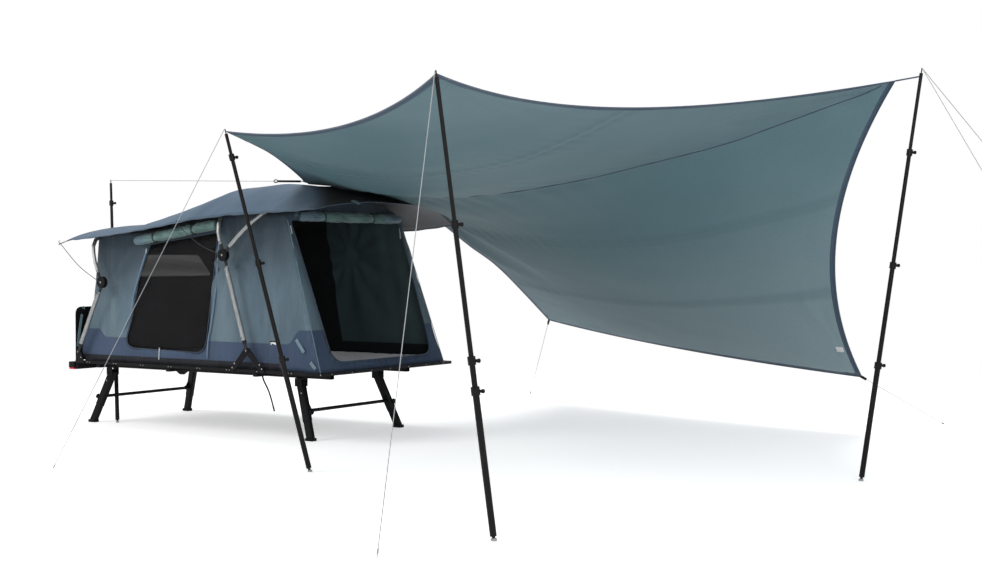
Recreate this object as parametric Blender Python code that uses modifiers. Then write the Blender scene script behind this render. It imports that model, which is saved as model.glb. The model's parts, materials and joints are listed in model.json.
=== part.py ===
# Hitch tent: a pop-up tent on a folding chassis with splayed legs, and a tarp awning on four poles
# Metres, +Z up. +X runs along the tent to its door, +Y away from the window side
import math

import bmesh
import bpy
from mathutils import Matrix, Vector

# Clearances
SEAT = 0.0003
RUN = 0.0003
SLIDE = 0.0006

# Chassis
RAIL_LEFT = -1.03
RAIL_RIGHT = 1.26
RAIL_Y = 0.445
RAIL_WIDE = 0.042
RAIL_TALL = 0.056
RAIL_WALL = 0.004
RAIL_BOTTOM = 0.436
FOLD_X = -0.19
FOLD_GAP = 0.004
LUG_THICK = 0.008
CROSS_TALL = 0.036
CROSS_WIDE = 0.040
CROSS_XS = (-0.80, -0.32, -0.06, 0.42, 0.80, 1.16)
ARM_XS = (-0.80, -0.06, 0.80)
WELD = 0.002

# Deck
DECK_LEFT = -0.90
DECK_RIGHT = 1.41
DECK_HALF = 0.745
DECK_THICK = 0.010
RIM = 0.022
MATTRESS_THICK = 0.055
MATTRESS_INSET = 0.07

# Legs
LEG_X = 0.97
LEG_Y = 0.445
LEG_PIVOT_Z = 0.392
LEG_FOOT_X = 1.12
LEG_FOOT_Y = 0.515
LEG_DEEP = 0.064
LEG_BROAD = 0.046
LEG_WALL = 0.003
LEG_OUTER_LONG = 0.285
LEG_HEAD = 0.022
LEG_KNUCKLE = 0.065
LEG_EDGE = 0.008
LEG_INNER_LONG = 0.30
PAD_TALL = 0.022
PAD_LIP = 0.007
PIVOT_R = 0.006
EAR_THICK = 0.004
EAR_WIDE = 0.060
EAR_DROP = 0.016
EAR_ROOM = 0.009
BRACE_Z = 0.205
BRACE_R = 0.0125
GUSSET = 0.045
GUSSET_THICK = 0.006
KNOB_ALONG = 0.225
KNOB_R = 0.019
KNOB_THICK = 0.014
KNOB_SHANK = 0.010
KNOB_LOBES = 6

# Tail light board
TAIL_THICK = 0.020
TAIL_BACK = 0.008
LAMP_LONG = 0.26
LAMP_TALL = 0.058
LAMP_DEEP = 0.062
LENS_THICK = 0.012
END_PANEL_TALL = 0.41
END_PANEL_THICK = 0.006
END_PANEL_GAP = 0.003
END_ROUND = 0.05

# Tent frame
TUBE_R = 0.017
HOOP_R = 0.015
HUB_R = 0.044
HUB_CHEEK = 0.009
HUB_PIN_R = 0.009
TANG_THICK = 0.006
TANG_WIDE = 0.021
TANG_LAP = 0.020
TUBE_START = 0.100
TUBE_ROOM = 0.060
LEFT_BASE = (-0.985, 0.572)
LEFT_HUB = (-0.717, 1.109)
LEFT_CREST_X = -0.94
MID_BASE = (0.751, 0.640)
MID_HUB = (0.534, 1.314)
MID_A_CREST_X = 0.37
MID_B_CREST_X = 0.98
V_SPREAD = 0.175
V_FOOT = 0.045
PLATE_THICK = 0.006

# Tent cloth
CLOTH = 0.004
BODY_LEFT = -0.885
BODY_RIGHT = 1.385
BODY_TOP_RIGHT = 1.02
BODY_INSET = 0.020
BODY_LEAN = 0.070
WINDOW_LEFT = -0.47
WINDOW_RIGHT = 0.31
WINDOW_LOW = 0.665
WINDOW_HIGH = 1.36
DOOR_SIDE = 0.185
DOOR_LEAN = 0.040
DOOR_LOW = 0.60
DOOR_HIGH = 1.50
FLY_LEFT = -1.25
FLY_RIGHT = 1.42
FLY_OVER = 0.0231
FLY_PROFILE = ((-1.25, 1.475, 0.075), (-0.94, 1.55, 0.12), (0.37, 1.83, 0.25),
               (0.60, 1.82, 0.24), (0.98, 1.775, 0.17), (1.42, 1.665, 0.11))
FLY_ROUND = 2.6
HOOP_UNDER_FLY = 0.024
HOOP_OUT = 0.045
ROOF_UNDER_FLY = 0.060
ROOF_EDGE_DROP = 0.035
BODY_LIFT = 0.002
ROLL_R = 0.034

# Tarp and its poles: foot on the ground, then tip
POLE_FEET = ((-0.925, -0.440), (2.109, -1.690), (4.250, -2.917), (5.014, -0.205))
POLE_TIPS = ((-1.470, 0.000, 1.937), (1.677, -1.960, 2.071), (4.120, -3.190, 2.130),
             (5.327, -0.111, 2.379))
POLE_TUBES = (0.0160, 0.0136, 0.0118, 0.0100)
POLE_WALL = 0.0018
POLE_COLLARS = ((0.33, 0.62, 0.90), (0.32, 0.61, 0.918), (0.316, 0.39, 0.679), (0.275, 0.526, 0.798))
POLE_LAPS = (0.14, 0.14, 0.40, 0.14)
COLLAR_WALL = 0.0055
COLLAR_LONG = 0.038
SPIKE_R = 0.0035
SPIKE_LONG = 0.030
FOOT_R = 0.008
FOOT_LONG = 0.024
TARP_THICK = 0.004
TARP_NEAR_LEFT = (1.6850, -1.9560, 2.0560)
TARP_NEAR_RIGHT = (4.1187, -3.1844, 2.1150)
TARP_RIDGE_LEFT = (0.600, 0.000, 1.868)
TARP_RIDGE_RIGHT = (5.133, 0.000, 2.328)
TARP_LOW_RIGHT = (4.232, 2.000, 0.423)
TARP_LOW_BACK = (1.009, 2.900, 0.734)
TARP_OVER_FLY = ((0.80, 0.20, 1.855), (1.02, 0.52, 1.790), (1.21, 0.80, 1.650),
                 (1.34, 1.15, 1.400), (1.35, 1.60, 1.190))
TARP_BOWS = {"near": (0.05, 0.11, -0.10), "right": (-0.43, 0.13, -0.12), "left": (-0.03, -0.01, 0.08),
             "ridge": (0.0, -0.27, -0.30), "far_right": (-0.24, -0.11, 0.0), "far": (-0.03, -0.12, -0.02)}
CORD_R = 0.0020
CORNER_GAPS = {"ridge": 0.0006, "back": 0.0016, "wall": 0.0010, "strap": 0.0013}
GUY_ENDS = ((0.774, -2.523), (4.055, -3.537), (0.534, 3.338), (4.551, 2.970))
LEAVING_ENDS = ((5.519, 0.600, 1.940), (5.899, -0.800, 1.673))
ELASTIC_R = 0.0025

BLACK = (0.012, 0.012, 0.013)
ALU = (0.62, 0.63, 0.64)

LOOSE = ("guy_", "pull_strap")

DECK_BOTTOM = RAIL_BOTTOM + RAIL_TALL + SEAT
DECK_TOP = DECK_BOTTOM + DECK_THICK
RIM_TOP = DECK_TOP + 0.004
RIM_OUT = DECK_HALF + SEAT + RIM
PLATE_Y = RIM_OUT + SEAT + PLATE_THICK / 2
FRAME_Y = PLATE_Y + PLATE_THICK / 2 + SEAT + TANG_THICK / 2
RAIL_MID = RAIL_BOTTOM + RAIL_TALL / 2
BODY_HALF = DECK_HALF - BODY_INSET
BODY_TOP_HALF = BODY_HALF - BODY_LEAN
DOOR_HALF_LOW = BODY_HALF - DOOR_SIDE
DOOR_HALF_HIGH = DOOR_HALF_LOW - DOOR_LEAN
FLY_HALF = FRAME_Y + FLY_OVER
HOOP_SHOULDER = BODY_TOP_HALF + HOOP_OUT
STRAP_PATH = ((0.600, RAIL_BOTTOM - 0.0026), (0.614, RAIL_BOTTOM - 0.036),
              (0.667, RAIL_BOTTOM - 0.124), (0.715, RAIL_BOTTOM - 0.253))


def clear_scene():
    for item in list(bpy.data.objects):
        bpy.data.objects.remove(item, do_unlink=True)


def material(name, colour, rough, metal=0.0):
    found = bpy.data.materials.new(name)
    found.use_nodes = True
    shader = found.node_tree.nodes["Principled BSDF"]
    shader.inputs["Base Color"].default_value = (*colour, 1.0)
    shader.inputs["Roughness"].default_value = rough
    shader.inputs["Metallic"].default_value = metal
    return found


def mesh_from(bm, name):
    bmesh.ops.recalc_face_normals(bm, faces=bm.faces)
    mesh = bpy.data.meshes.new(name)
    bm.to_mesh(mesh)
    bm.free()
    return mesh


def add_object(name, shape, mat, collection):
    """Links a new object for a bmesh or a mesh."""
    mesh = mesh_from(shape, name) if isinstance(shape, bmesh.types.BMesh) else shape
    item = bpy.data.objects.new(name, mesh)
    collection.objects.link(item)
    mesh.materials.clear()
    mesh.materials.append(mat)
    return item


def boolean(item, shape, operation, home):
    """Adds a shape to an item, or takes it out, with a hidden helper object."""
    label = "%s_%s_%d" % (item.name, operation.lower(), len(item.modifiers))
    helper = add_object(label, shape, item.data.materials[0], home["cutters"])
    helper.hide_render = True
    helper.display_type = "WIRE"
    step = item.modifiers.new(label, "BOOLEAN")
    step.operation = operation
    step.solver = "EXACT"
    step.object = helper
    home["helpers"].setdefault(item.name, []).append(helper)


def weld(item, shape, home):
    boolean(item, shape, "UNION", home)


def cut(item, shape, home):
    boolean(item, shape, "DIFFERENCE", home)


def frame_at(origin, up, side=(0, 1, 0)):
    """A matrix at origin whose Z is up and whose Y leans to side."""
    z = Vector(up).normalized()
    y = (Vector(side) - z * Vector(side).dot(z)).normalized()
    x = y.cross(z)
    turn = Matrix((x, y, z)).transposed().to_4x4()
    return Matrix.Translation(Vector(origin)) @ turn


def along(a, b):
    """A matrix at the middle of a to b whose Z runs from a to b."""
    a, b = Vector(a), Vector(b)
    side = (0, 1, 0) if abs((b - a).normalized().y) < 0.9 else (1, 0, 0)
    return frame_at((a + b) / 2, b - a, side)


def facing_x(x, y=0.0, z=0.0):
    """Takes a flat shape's plane to YZ, its thickness along X."""
    return Matrix(((0, 0, 1, x), (1, 0, 0, y), (0, 1, 0, z), (0, 0, 0, 1)))


def facing_y(x, y, z):
    """Takes a flat shape's plane to XZ, its thickness along Y."""
    return Matrix(((1, 0, 0, x), (0, 0, -1, y), (0, 1, 0, z), (0, 0, 0, 1)))


def add_box(bm, size, matrix, bevel=0.0):
    made = bmesh.ops.create_cube(bm, size=1.0)["verts"]
    bmesh.ops.scale(bm, vec=Vector(size), verts=made)
    if bevel > 0:
        edges = {edge for vert in made for edge in vert.link_edges}
        made = bmesh.ops.bevel(bm, geom=list(edges), offset=bevel, segments=1, affect="EDGES",
                               profile=0.5)["verts"]
    bmesh.ops.transform(bm, matrix=matrix, verts=made)


def box(size, spot, bevel=0.0):
    bm = bmesh.new()
    add_box(bm, size, Matrix.Translation(spot), bevel)
    return bm


def add_rod(bm, a, b, radius, sides=16):
    made = bmesh.ops.create_cone(bm, cap_ends=True, segments=sides, radius1=radius, radius2=radius,
                                 depth=(Vector(b) - Vector(a)).length)["verts"]
    bmesh.ops.transform(bm, matrix=along(a, b), verts=made)


def rod(a, b, radius, sides=16):
    bm = bmesh.new()
    add_rod(bm, a, b, radius, sides)
    return bm


def curve_mesh(curve):
    """The mesh of a curve, with its caps welded on."""
    holder = bpy.data.objects.new("holder", curve)
    bpy.context.scene.collection.objects.link(holder)
    evaluated = holder.evaluated_get(bpy.context.evaluated_depsgraph_get())
    mesh = bpy.data.meshes.new_from_object(evaluated)
    bpy.data.objects.remove(holder, do_unlink=True)
    bm = bmesh.new()
    bm.from_mesh(mesh)
    bmesh.ops.remove_doubles(bm, verts=bm.verts, dist=1e-5)
    bm.to_mesh(mesh)
    bm.free()
    return mesh


def add_flat(bm, points, thick, matrix):
    """A flat outline in local XY, with its thickness along local Z."""
    curve = bpy.data.curves.new("flat", "CURVE")
    curve.dimensions = "2D"
    curve.fill_mode = "BOTH"
    curve.extrude = thick / 2
    spline = curve.splines.new("POLY")
    spline.points.add(len(points) - 1)
    spline.use_cyclic_u = True
    for point, (x, y) in zip(spline.points, points):
        point.co = (x, y, 0, 1)
    mesh = curve_mesh(curve)
    mesh.transform(matrix)
    bm.from_mesh(mesh)
    bpy.data.meshes.remove(mesh)


def flat(points, thick, matrix):
    bm = bmesh.new()
    add_flat(bm, points, thick, matrix)
    return bm


def tube_mesh(name, path, radius, resolution):
    """A closed round tube along an open list of points."""
    curve = bpy.data.curves.new(name, "CURVE")
    curve.dimensions = "3D"
    curve.bevel_depth = radius
    curve.bevel_resolution = resolution
    curve.use_fill_caps = True
    spline = curve.splines.new("POLY")
    spline.points.add(len(path) - 1)
    for point, spot in zip(spline.points, path):
        point.co = (*spot, 1.0)
    return curve_mesh(curve)


def turned(name, outline, place, sides, mat, home):
    """A profile of (radius, height) points, top to bottom on its outer side, spun about place's Z."""
    mesh = bpy.data.meshes.new(name)
    mesh.from_pydata([(radius, 0, height) for radius, height in outline],
                     [(k, k + 1) for k in range(len(outline) - 1)], [])
    item = add_object(name, mesh, mat, home["parts"])
    spin = item.modifiers.new("spin", "SCREW")
    spin.steps = sides
    spin.render_steps = sides
    spin.use_merge_vertices = True
    spin.merge_threshold = 0.00001
    item.matrix_world = place
    return item


def smooth_path(points, count):
    """Points at an even step on a smooth curve through the given ones."""
    spots = [Vector(p) for p in points]
    dense = []
    for i in range(len(spots) - 1):
        before = spots[max(i - 1, 0)]
        after = spots[min(i + 2, len(spots) - 1)]
        for k in range(16):
            t = k / 16
            dense.append(0.5 * ((2 * spots[i]) + (spots[i + 1] - before) * t
                                + (2 * before - 5 * spots[i] + 4 * spots[i + 1] - after) * t ** 2
                                + (3 * spots[i] - before - 3 * spots[i + 1] + after) * t ** 3))
    dense.append(spots[-1])
    run = [0.0]
    for a, b in zip(dense, dense[1:]):
        run.append(run[-1] + (b - a).length)
    found, k = [], 0
    for i in range(count):
        goal = run[-1] * i / (count - 1)
        while k < len(run) - 2 and run[k + 1] < goal:
            k += 1
        t = (goal - run[k]) / max(run[k + 1] - run[k], 1e-9)
        found.append(dense[k].lerp(dense[k + 1], min(max(t, 0), 1)))
    return found


def sheet_mesh(name, rows):
    """An open cloth through rows of points."""
    bm = bmesh.new()
    grid = [[bm.verts.new(spot) for spot in row] for row in rows]
    for low, high in zip(grid, grid[1:]):
        for j in range(len(low) - 1):
            bm.faces.new((low[j], low[j + 1], high[j + 1], high[j]))
    mesh = bpy.data.meshes.new(name)
    bm.to_mesh(mesh)
    bm.free()
    return mesh


def add_wall(item, thick, offset):
    wall = item.modifiers.new("wall", "SOLIDIFY")
    wall.thickness = thick
    wall.offset = offset
    wall.use_even_offset = True
    wall.use_quality_normals = True


def ride(item, parent, origin, home):
    """Moves the item's origin to a point on its axis and parents it there, in place."""
    origin = Vector(origin)
    item.data.transform(Matrix.Translation(-origin))
    item.location = origin - parent.location
    item.parent = parent


def axis_empty(name, spot, home):
    axis = bpy.data.objects.new(name, None)
    axis.location = spot
    home["parts"].objects.link(axis)
    return axis


def profile_at(x):
    """Crest height and eave drop of the fly at x."""
    rows = FLY_PROFILE
    if x <= rows[0][0]:
        return rows[0][1], rows[0][2]
    for (x0, c0, d0), (x1, c1, d1) in zip(rows, rows[1:]):
        if x <= x1:
            t = (x - x0) / (x1 - x0)
            return c0 + (c1 - c0) * t, d0 + (d1 - d0) * t
    return rows[-1][1], rows[-1][2]


def fly_height(x, y):
    crest, drop = profile_at(x)
    return crest - drop * (abs(y) / FLY_HALF) ** FLY_ROUND


def roof_height(x, y):
    """The tent body's own roof, which falls away from the fly toward its eaves."""
    return fly_height(x, y) - ROOF_UNDER_FLY - ROOF_EDGE_DROP * (y / BODY_TOP_HALF) ** 2


# Chassis pieces

def build_chassis(home, mats):
    """The welded ladder frame in two halves that meet at the fold, with its leg brackets."""
    low = DECK_BOTTOM - SEAT - CROSS_TALL / 2
    inner = RAIL_Y - RAIL_WIDE / 2
    outer = RAIL_Y + RAIL_WIDE / 2
    spans = {"chassis_left": (RAIL_LEFT, FOLD_X - FOLD_GAP / 2, -1),
             "chassis_right": (FOLD_X + FOLD_GAP / 2, RAIL_RIGHT, 1)}
    for name, (start, end, sx) in spans.items():
        rails, bars, arms, ears, pins, lugs, cores = (bmesh.new() for _ in range(7))
        for side in (-1, 1):
            middle = Vector(((start + end) / 2, side * RAIL_Y, RAIL_MID))
            add_box(rails, (end - start, RAIL_WIDE, RAIL_TALL), Matrix.Translation(middle), 0.004)
            hollow = (end - start + 0.1, RAIL_WIDE - 2 * RAIL_WALL, RAIL_TALL - 2 * RAIL_WALL)
            add_box(cores, hollow, Matrix.Translation(middle))
            add_flat(ears, bracket_outline(), EAR_WIDE, facing_x(sx * LEG_X, side * LEG_Y))
            half = LEG_BROAD / 2 + EAR_ROOM + EAR_THICK + 0.004
            add_rod(pins, (sx * LEG_X, side * LEG_Y - half, LEG_PIVOT_Z),
                    (sx * LEG_X, side * LEG_Y + half, LEG_PIVOT_Z), PIVOT_R)
            lug = [(0.0, 0.018), (0.075, 0.018), (0.055, -0.030), (0.020, -0.052), (0.0, -0.052)]
            lug = [(FOLD_X + sx * (FOLD_GAP / 2 + x), z) for x, z in lug]
            lug_y = side * (outer + LUG_THICK / 2 - WELD)
            add_flat(lugs, lug, LUG_THICK, facing_y(0, lug_y, RAIL_MID))
            for x in ARM_XS:
                if start < x < end:
                    reach = DECK_HALF - outer + WELD
                    spot = (x, side * (DECK_HALF - reach / 2), low)
                    add_box(arms, (CROSS_WIDE, reach, CROSS_TALL), Matrix.Translation(spot), 0.003)
            if sx < 0:
                tall = RIM_TOP - RIM - SEAT - RAIL_BOTTOM
                reach = RIM_OUT - outer + WELD
                spot = (start + TAIL_THICK / 2, side * (RIM_OUT - reach / 2), RAIL_BOTTOM + tall / 2)
                add_box(arms, (TAIL_THICK, reach, tall - 0.002), Matrix.Translation(spot), 0.003)
        for x in CROSS_XS:
            if start < x < end:
                add_box(bars, (CROSS_WIDE, 2 * (inner + WELD), CROSS_TALL),
                        Matrix.Translation((x, 0, low)), 0.003)
        if sx < 0:
            bar_x = start + TAIL_BACK + TAIL_THICK / 2
            add_box(bars, (TAIL_THICK, 2 * (inner + WELD), RAIL_TALL - 0.004),
                    Matrix.Translation((bar_x, 0, RAIL_MID)), 0.003)
        item = add_object(name, rails, mats["black"], home["parts"])
        for shape in (bars, arms, ears, pins, lugs):
            weld(item, shape, home)
        cut(item, cores, home)


def bracket_outline():
    """A U with its web welded under the rail, in YZ about a leg's middle line."""
    top = RAIL_BOTTOM + WELD
    web = RAIL_BOTTOM - EAR_THICK
    low = LEG_PIVOT_Z - EAR_DROP
    inside = LEG_BROAD / 2 + EAR_ROOM
    half = inside + EAR_THICK
    neck = RAIL_WIDE / 2 - 0.006
    under = RAIL_BOTTOM - SEAT
    return [(-neck, top), (-neck, under), (-half, under), (-half, low), (-inside, low), (-inside, web),
            (inside, web), (inside, low), (half, low), (half, under), (neck, under), (neck, top)]


def build_deck(home, mats):
    """The floor board, and the square tube round three of its sides."""
    size = (DECK_RIGHT - DECK_LEFT, 2 * DECK_HALF, DECK_THICK)
    spot = ((DECK_LEFT + DECK_RIGHT) / 2, 0, DECK_BOTTOM + DECK_THICK / 2)
    add_object("deck_board", box(size, spot), mats["deck"], home["parts"])
    inner = DECK_HALF + SEAT
    end = DECK_RIGHT + SEAT
    outline = [(RAIL_LEFT, -inner), (RAIL_LEFT, -RIM_OUT), (end + RIM, -RIM_OUT),
               (end + RIM, RIM_OUT), (RAIL_LEFT, RIM_OUT), (RAIL_LEFT, inner), (end, inner),
               (end, -inner)]
    place = Matrix.Translation((0, 0, RIM_TOP - RIM / 2))
    add_object("deck_rim", flat(outline, RIM, place), mats["black"], home["parts"])


def build_lamps(home, mats):
    """A lamp box on each tail arm, its red lens under it."""
    for label, side in (("near", -1), ("far", 1)):
        x = RAIL_LEFT - SEAT - LAMP_DEEP / 2
        y = side * (RIM_OUT + 0.015 - LAMP_LONG / 2)
        tall = LAMP_TALL - LENS_THICK
        top = RAIL_BOTTOM + LAMP_TALL
        lamp = box((LAMP_DEEP, LAMP_LONG, tall), (x, y, top - tall / 2), 0.005)
        add_object("lamp_" + label, lamp, mats["plastic"], home["parts"])
        lens = box((LAMP_DEEP - 0.006, LAMP_LONG - 0.006, LENS_THICK),
                   (x, y, top - tall - SEAT - LENS_THICK / 2), 0.003)
        add_object("lens_" + label, lens, mats["lens"], home["parts"])


def build_end_panel(home, mats):
    """The board that stands at the left end, rounded at its upper corners."""
    low = RIM_TOP + SEAT
    outline = [(-RIM_OUT, 0), (RIM_OUT, 0)]
    for sy in (1, -1):
        for k in range(5):
            turn = math.pi / 2 * (k if sy == 1 else 4 - k) / 4
            outline.append((sy * (RIM_OUT - END_ROUND + END_ROUND * math.cos(turn)),
                            END_PANEL_TALL - END_ROUND + END_ROUND * math.sin(turn)))
    x = RAIL_LEFT + END_PANEL_THICK / 2 + END_PANEL_GAP
    board = flat(outline, END_PANEL_THICK, facing_x(x, 0, low))
    add_object("end_panel", board, mats["plastic"], home["parts"])


# Legs

def leg_ends(sx, sy):
    top = Vector((sx * LEG_X, sy * LEG_Y, LEG_PIVOT_Z))
    foot = Vector((sx * LEG_FOOT_X, sy * LEG_FOOT_Y, 0.0))
    return top, foot


def leg_frame(sx, sy):
    """At the pivot, Z up along the leg."""
    top, foot = leg_ends(sx, sy)
    return frame_at(top, top - foot)


def build_legs(home, mats):
    """Each end's two outer tubes and their brace are one welded frame that turns on its pins."""
    for label, sx in (("left", -1), ("right", 1)):
        pair = axis_empty("axis_legs_" + label, (sx * LEG_X, 0, LEG_PIVOT_Z), home)
        tubes, cores, bores = bmesh.new(), bmesh.new(), bmesh.new()
        for side, sy in (("near", -1), ("far", 1)):
            place = leg_frame(sx, sy)
            middle = (LEG_HEAD - LEG_OUTER_LONG) / 2
            add_box(tubes, (LEG_DEEP, LEG_BROAD, LEG_HEAD + LEG_OUTER_LONG),
                    place @ Matrix.Translation((0, 0, middle)), LEG_EDGE)
            bore_top = LEG_HEAD - LEG_KNUCKLE
            add_box(cores, (LEG_DEEP - 2 * LEG_WALL, LEG_BROAD - 2 * LEG_WALL, LEG_OUTER_LONG),
                    place @ Matrix.Translation((0, 0, bore_top - LEG_OUTER_LONG / 2)),
                    LEG_EDGE - LEG_WALL)
            pin_at = Vector((sx * LEG_X, sy * LEG_Y, LEG_PIVOT_Z))
            across = Vector((0, 0.06, 0))
            add_rod(bores, pin_at - across, pin_at + across, PIVOT_R + RUN, 24)
            build_leg_slide(home, mats, label + "_" + side, sx, sy, pair)
        frame = add_object("leg_frame_" + label, tubes, mats["black"], home["parts"])
        brace, gussets = brace_shapes(sx)
        weld(frame, brace, home)
        weld(frame, gussets, home)
        cut(frame, cores, home)
        cut(frame, bores, home)
        ride(frame, pair, pair.location, home)
        for helper in home["helpers"][frame.name]:
            helper.parent = pair
            helper.location = -pair.location


def brace_shapes(sx):
    """The bar between a pair's legs, and a triangular gusset above it at each end."""
    lean = (LEG_FOOT_Y - LEG_Y) / LEG_PIVOT_Z
    stretch = math.sqrt(1 + lean * lean)

    def face_y(z):
        return LEG_Y + lean * (LEG_PIVOT_Z - z) - LEG_BROAD / 2 * stretch

    x = sx * (LEG_X + (LEG_FOOT_X - LEG_X) * (LEG_PIVOT_Z - BRACE_Z) / LEG_PIVOT_Z)
    stop = face_y(BRACE_Z) + LEG_WALL
    brace = rod((x, -stop, BRACE_Z), (x, stop, BRACE_Z), BRACE_R, 14)
    gussets = bmesh.new()
    high = BRACE_Z + GUSSET
    for side in (-1, 1):
        outline = [(face_y(BRACE_Z) + WELD, BRACE_Z), (face_y(high) + WELD, high),
                   (face_y(high) - 0.006, high), (face_y(BRACE_Z) - GUSSET, BRACE_Z)]
        add_flat(gussets, [(side * y, z) for y, z in outline], GUSSET_THICK, facing_x(x))
    return brace, gussets


def build_leg_slide(home, mats, tag, sx, sy, pair):
    """The inner tube with its rubber pad, which slides out of a leg, and the leg's clamp knob."""
    place = leg_frame(sx, sy)
    top, foot = leg_ends(sx, sy)
    reach = (top - foot).length
    wide = LEG_DEEP - 2 * (LEG_WALL + SLIDE)
    broad = LEG_BROAD - 2 * (LEG_WALL + SLIDE)
    tube = bmesh.new()
    add_box(tube, (wide, broad, LEG_INNER_LONG),
            place @ Matrix.Translation((0, 0, LEG_INNER_LONG / 2 - reach - 0.03)),
            LEG_EDGE - LEG_WALL)
    geometry = list(tube.verts) + list(tube.edges) + list(tube.faces)
    bmesh.ops.bisect_plane(tube, geom=geometry, plane_co=(0, 0, PAD_TALL / 2), plane_no=(0, 0, 1),
                           clear_inner=True)
    bmesh.ops.holes_fill(tube, edges=[edge for edge in tube.edges if edge.is_boundary])
    slide = add_object("leg_slide_" + tag, tube, mats["black"], home["parts"])
    middle = foot + (top - foot) * (PAD_TALL / 2 / LEG_PIVOT_Z)
    weld(slide, box((wide + 2 * PAD_LIP, broad + 2 * PAD_LIP, PAD_TALL), middle, 0.004), home)
    ride(slide, pair, foot, home)
    turn = place.to_3x3() @ Vector((sx, 0, 0))
    start = (place @ Matrix.Translation((sx * LEG_DEEP / 2, 0, -KNOB_ALONG))).translation
    start = start + turn * SEAT
    outline = []
    for k in range(4 * KNOB_LOBES):
        swing = 2 * math.pi * k / (4 * KNOB_LOBES)
        radius = KNOB_R * (1 + 0.10 * math.cos(KNOB_LOBES * swing))
        outline.append((radius * math.cos(swing), radius * math.sin(swing)))
    head = start + turn * (KNOB_SHANK + KNOB_THICK / 2)
    grip = flat(outline, KNOB_THICK, frame_at(head, turn, (0, 1, 0)))
    knob = add_object("leg_knob_" + tag, grip, mats["plastic"], home["parts"])
    weld(knob, rod(start, start + turn * (KNOB_SHANK + 0.004), 0.007, 12), home)
    ride(knob, pair, start, home)
    for item in (slide, knob):
        for helper in home["helpers"][item.name]:
            helper.parent = pair
            helper.location = -pair.location


# Tent frame

def layer_y(side, layer):
    """The middle of a tang layer at a hub; layer is -1, 0 or 1."""
    return side * (FRAME_Y + layer * (TANG_THICK + SEAT))


def add_tang(bm, pivot, toward, y, reach):
    """A flat link with a round end at the pivot, out to reach."""
    way = (Vector((toward[0], 0, toward[1])) - Vector((pivot[0], 0, pivot[1]))).normalized()
    half = TANG_WIDE / 2
    rim = [(half * 1.3 * math.cos(a), half * 1.3 * math.sin(a))
           for a in (math.pi * 0.62 + math.pi * 0.76 * k / 8 for k in range(9))]
    rim += [(reach, -half), (reach, half)]
    add_flat(bm, rim, TANG_THICK, frame_at((pivot[0], y, pivot[1]), (0, 1, 0), Vector((0, 1, 0)).cross(way)))


def eye(spot, y, radius):
    return rod((spot[0], y - 0.03, spot[1]), (spot[0], y + 0.03, spot[1]), radius, 16)


def build_arch(home, mats, label, base, hub, layers):
    """Both sides' lower tubes with a tang at each end, and the hubs they carry."""
    axis = axis_empty("axis_base_" + label, (base[0], 0, base[1]), home)
    a, b = Vector((base[0], 0, base[1])), Vector((hub[0], 0, hub[1]))
    way = (b - a).normalized()
    for side_name, side in (("near", -1), ("far", 1)):
        y0 = side * FRAME_Y
        low = a + way * TUBE_ROOM + Vector((0, y0, 0))
        high = b - way * TUBE_START + Vector((0, y0, 0))
        name = "lower_tube_%s_%s" % (label, side_name)
        item = add_object(name, rod(low, high, TUBE_R, 16), mats["alu"], home["parts"])
        tangs = bmesh.new()
        add_tang(tangs, hub, base, layer_y(side, layers[0]), TUBE_START + TANG_LAP)
        add_tang(tangs, base, hub, y0, TUBE_ROOM + TANG_LAP)
        weld(item, tangs, home)
        cut(item, eye(hub, y0, HUB_PIN_R + RUN), home)
        cut(item, eye(base, y0, PIVOT_R + RUN), home)
        ride(item, axis, axis.location, home)
        for helper in home["helpers"][name]:
            helper.parent = axis
            helper.location = -axis.location
        build_hub(home, mats, "hub_%s_%s" % (label, side_name), hub, side, layers, axis)


def build_hub(home, mats, name, hub, side, layers, axis):
    """A spool: cheek, pin and cheek on one profile, with room between for the tangs."""
    low = min(layers) * (TANG_THICK + SEAT) - TANG_THICK / 2 - SEAT
    high = max(layers) * (TANG_THICK + SEAT) + TANG_THICK / 2 + SEAT
    chamfer = 0.004
    outline = [(0, high + HUB_CHEEK), (HUB_R - chamfer, high + HUB_CHEEK),
               (HUB_R, high + HUB_CHEEK - chamfer), (HUB_R, high), (HUB_PIN_R, high), (HUB_PIN_R, low),
               (HUB_R, low), (HUB_R, low - HUB_CHEEK + chamfer), (HUB_R - chamfer, low - HUB_CHEEK),
               (0, low - HUB_CHEEK)]
    place = frame_at((hub[0], side * FRAME_Y, hub[1]), (0, side, 0), (1, 0, 0))
    item = turned(name, outline, place, 18, mats["plastic"], home)
    item.location = item.location - axis.location
    item.parent = axis


def hoop_points(hub, crest_x):
    """From the near hub over the tent to the far one, in one leaning plane under the fly."""
    top = fly_height(crest_x, 0) - HOOP_UNDER_FLY
    lean = (crest_x - hub[0]) / (top - hub[1])
    way = Vector((lean, 0, 1)).normalized()
    spots = []
    for side in (-1, 1):
        start = Vector((hub[0], side * FRAME_Y, hub[1])) + way * TUBE_START
        ends = [start, start + way * 0.05]
        spots += ends if side < 0 else ends[::-1]
        if side < 0:
            for k in range(-3, 4):
                y = HOOP_SHOULDER * k / 3
                z = top
                for _ in range(6):
                    x = hub[0] + lean * (z - hub[1])
                    z = fly_height(x, y) - HOOP_UNDER_FLY - (0.03 if abs(k) == 3 else 0)
                spots.append(Vector((hub[0] + lean * (z - hub[1]), y, z)))
    return spots, way


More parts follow.
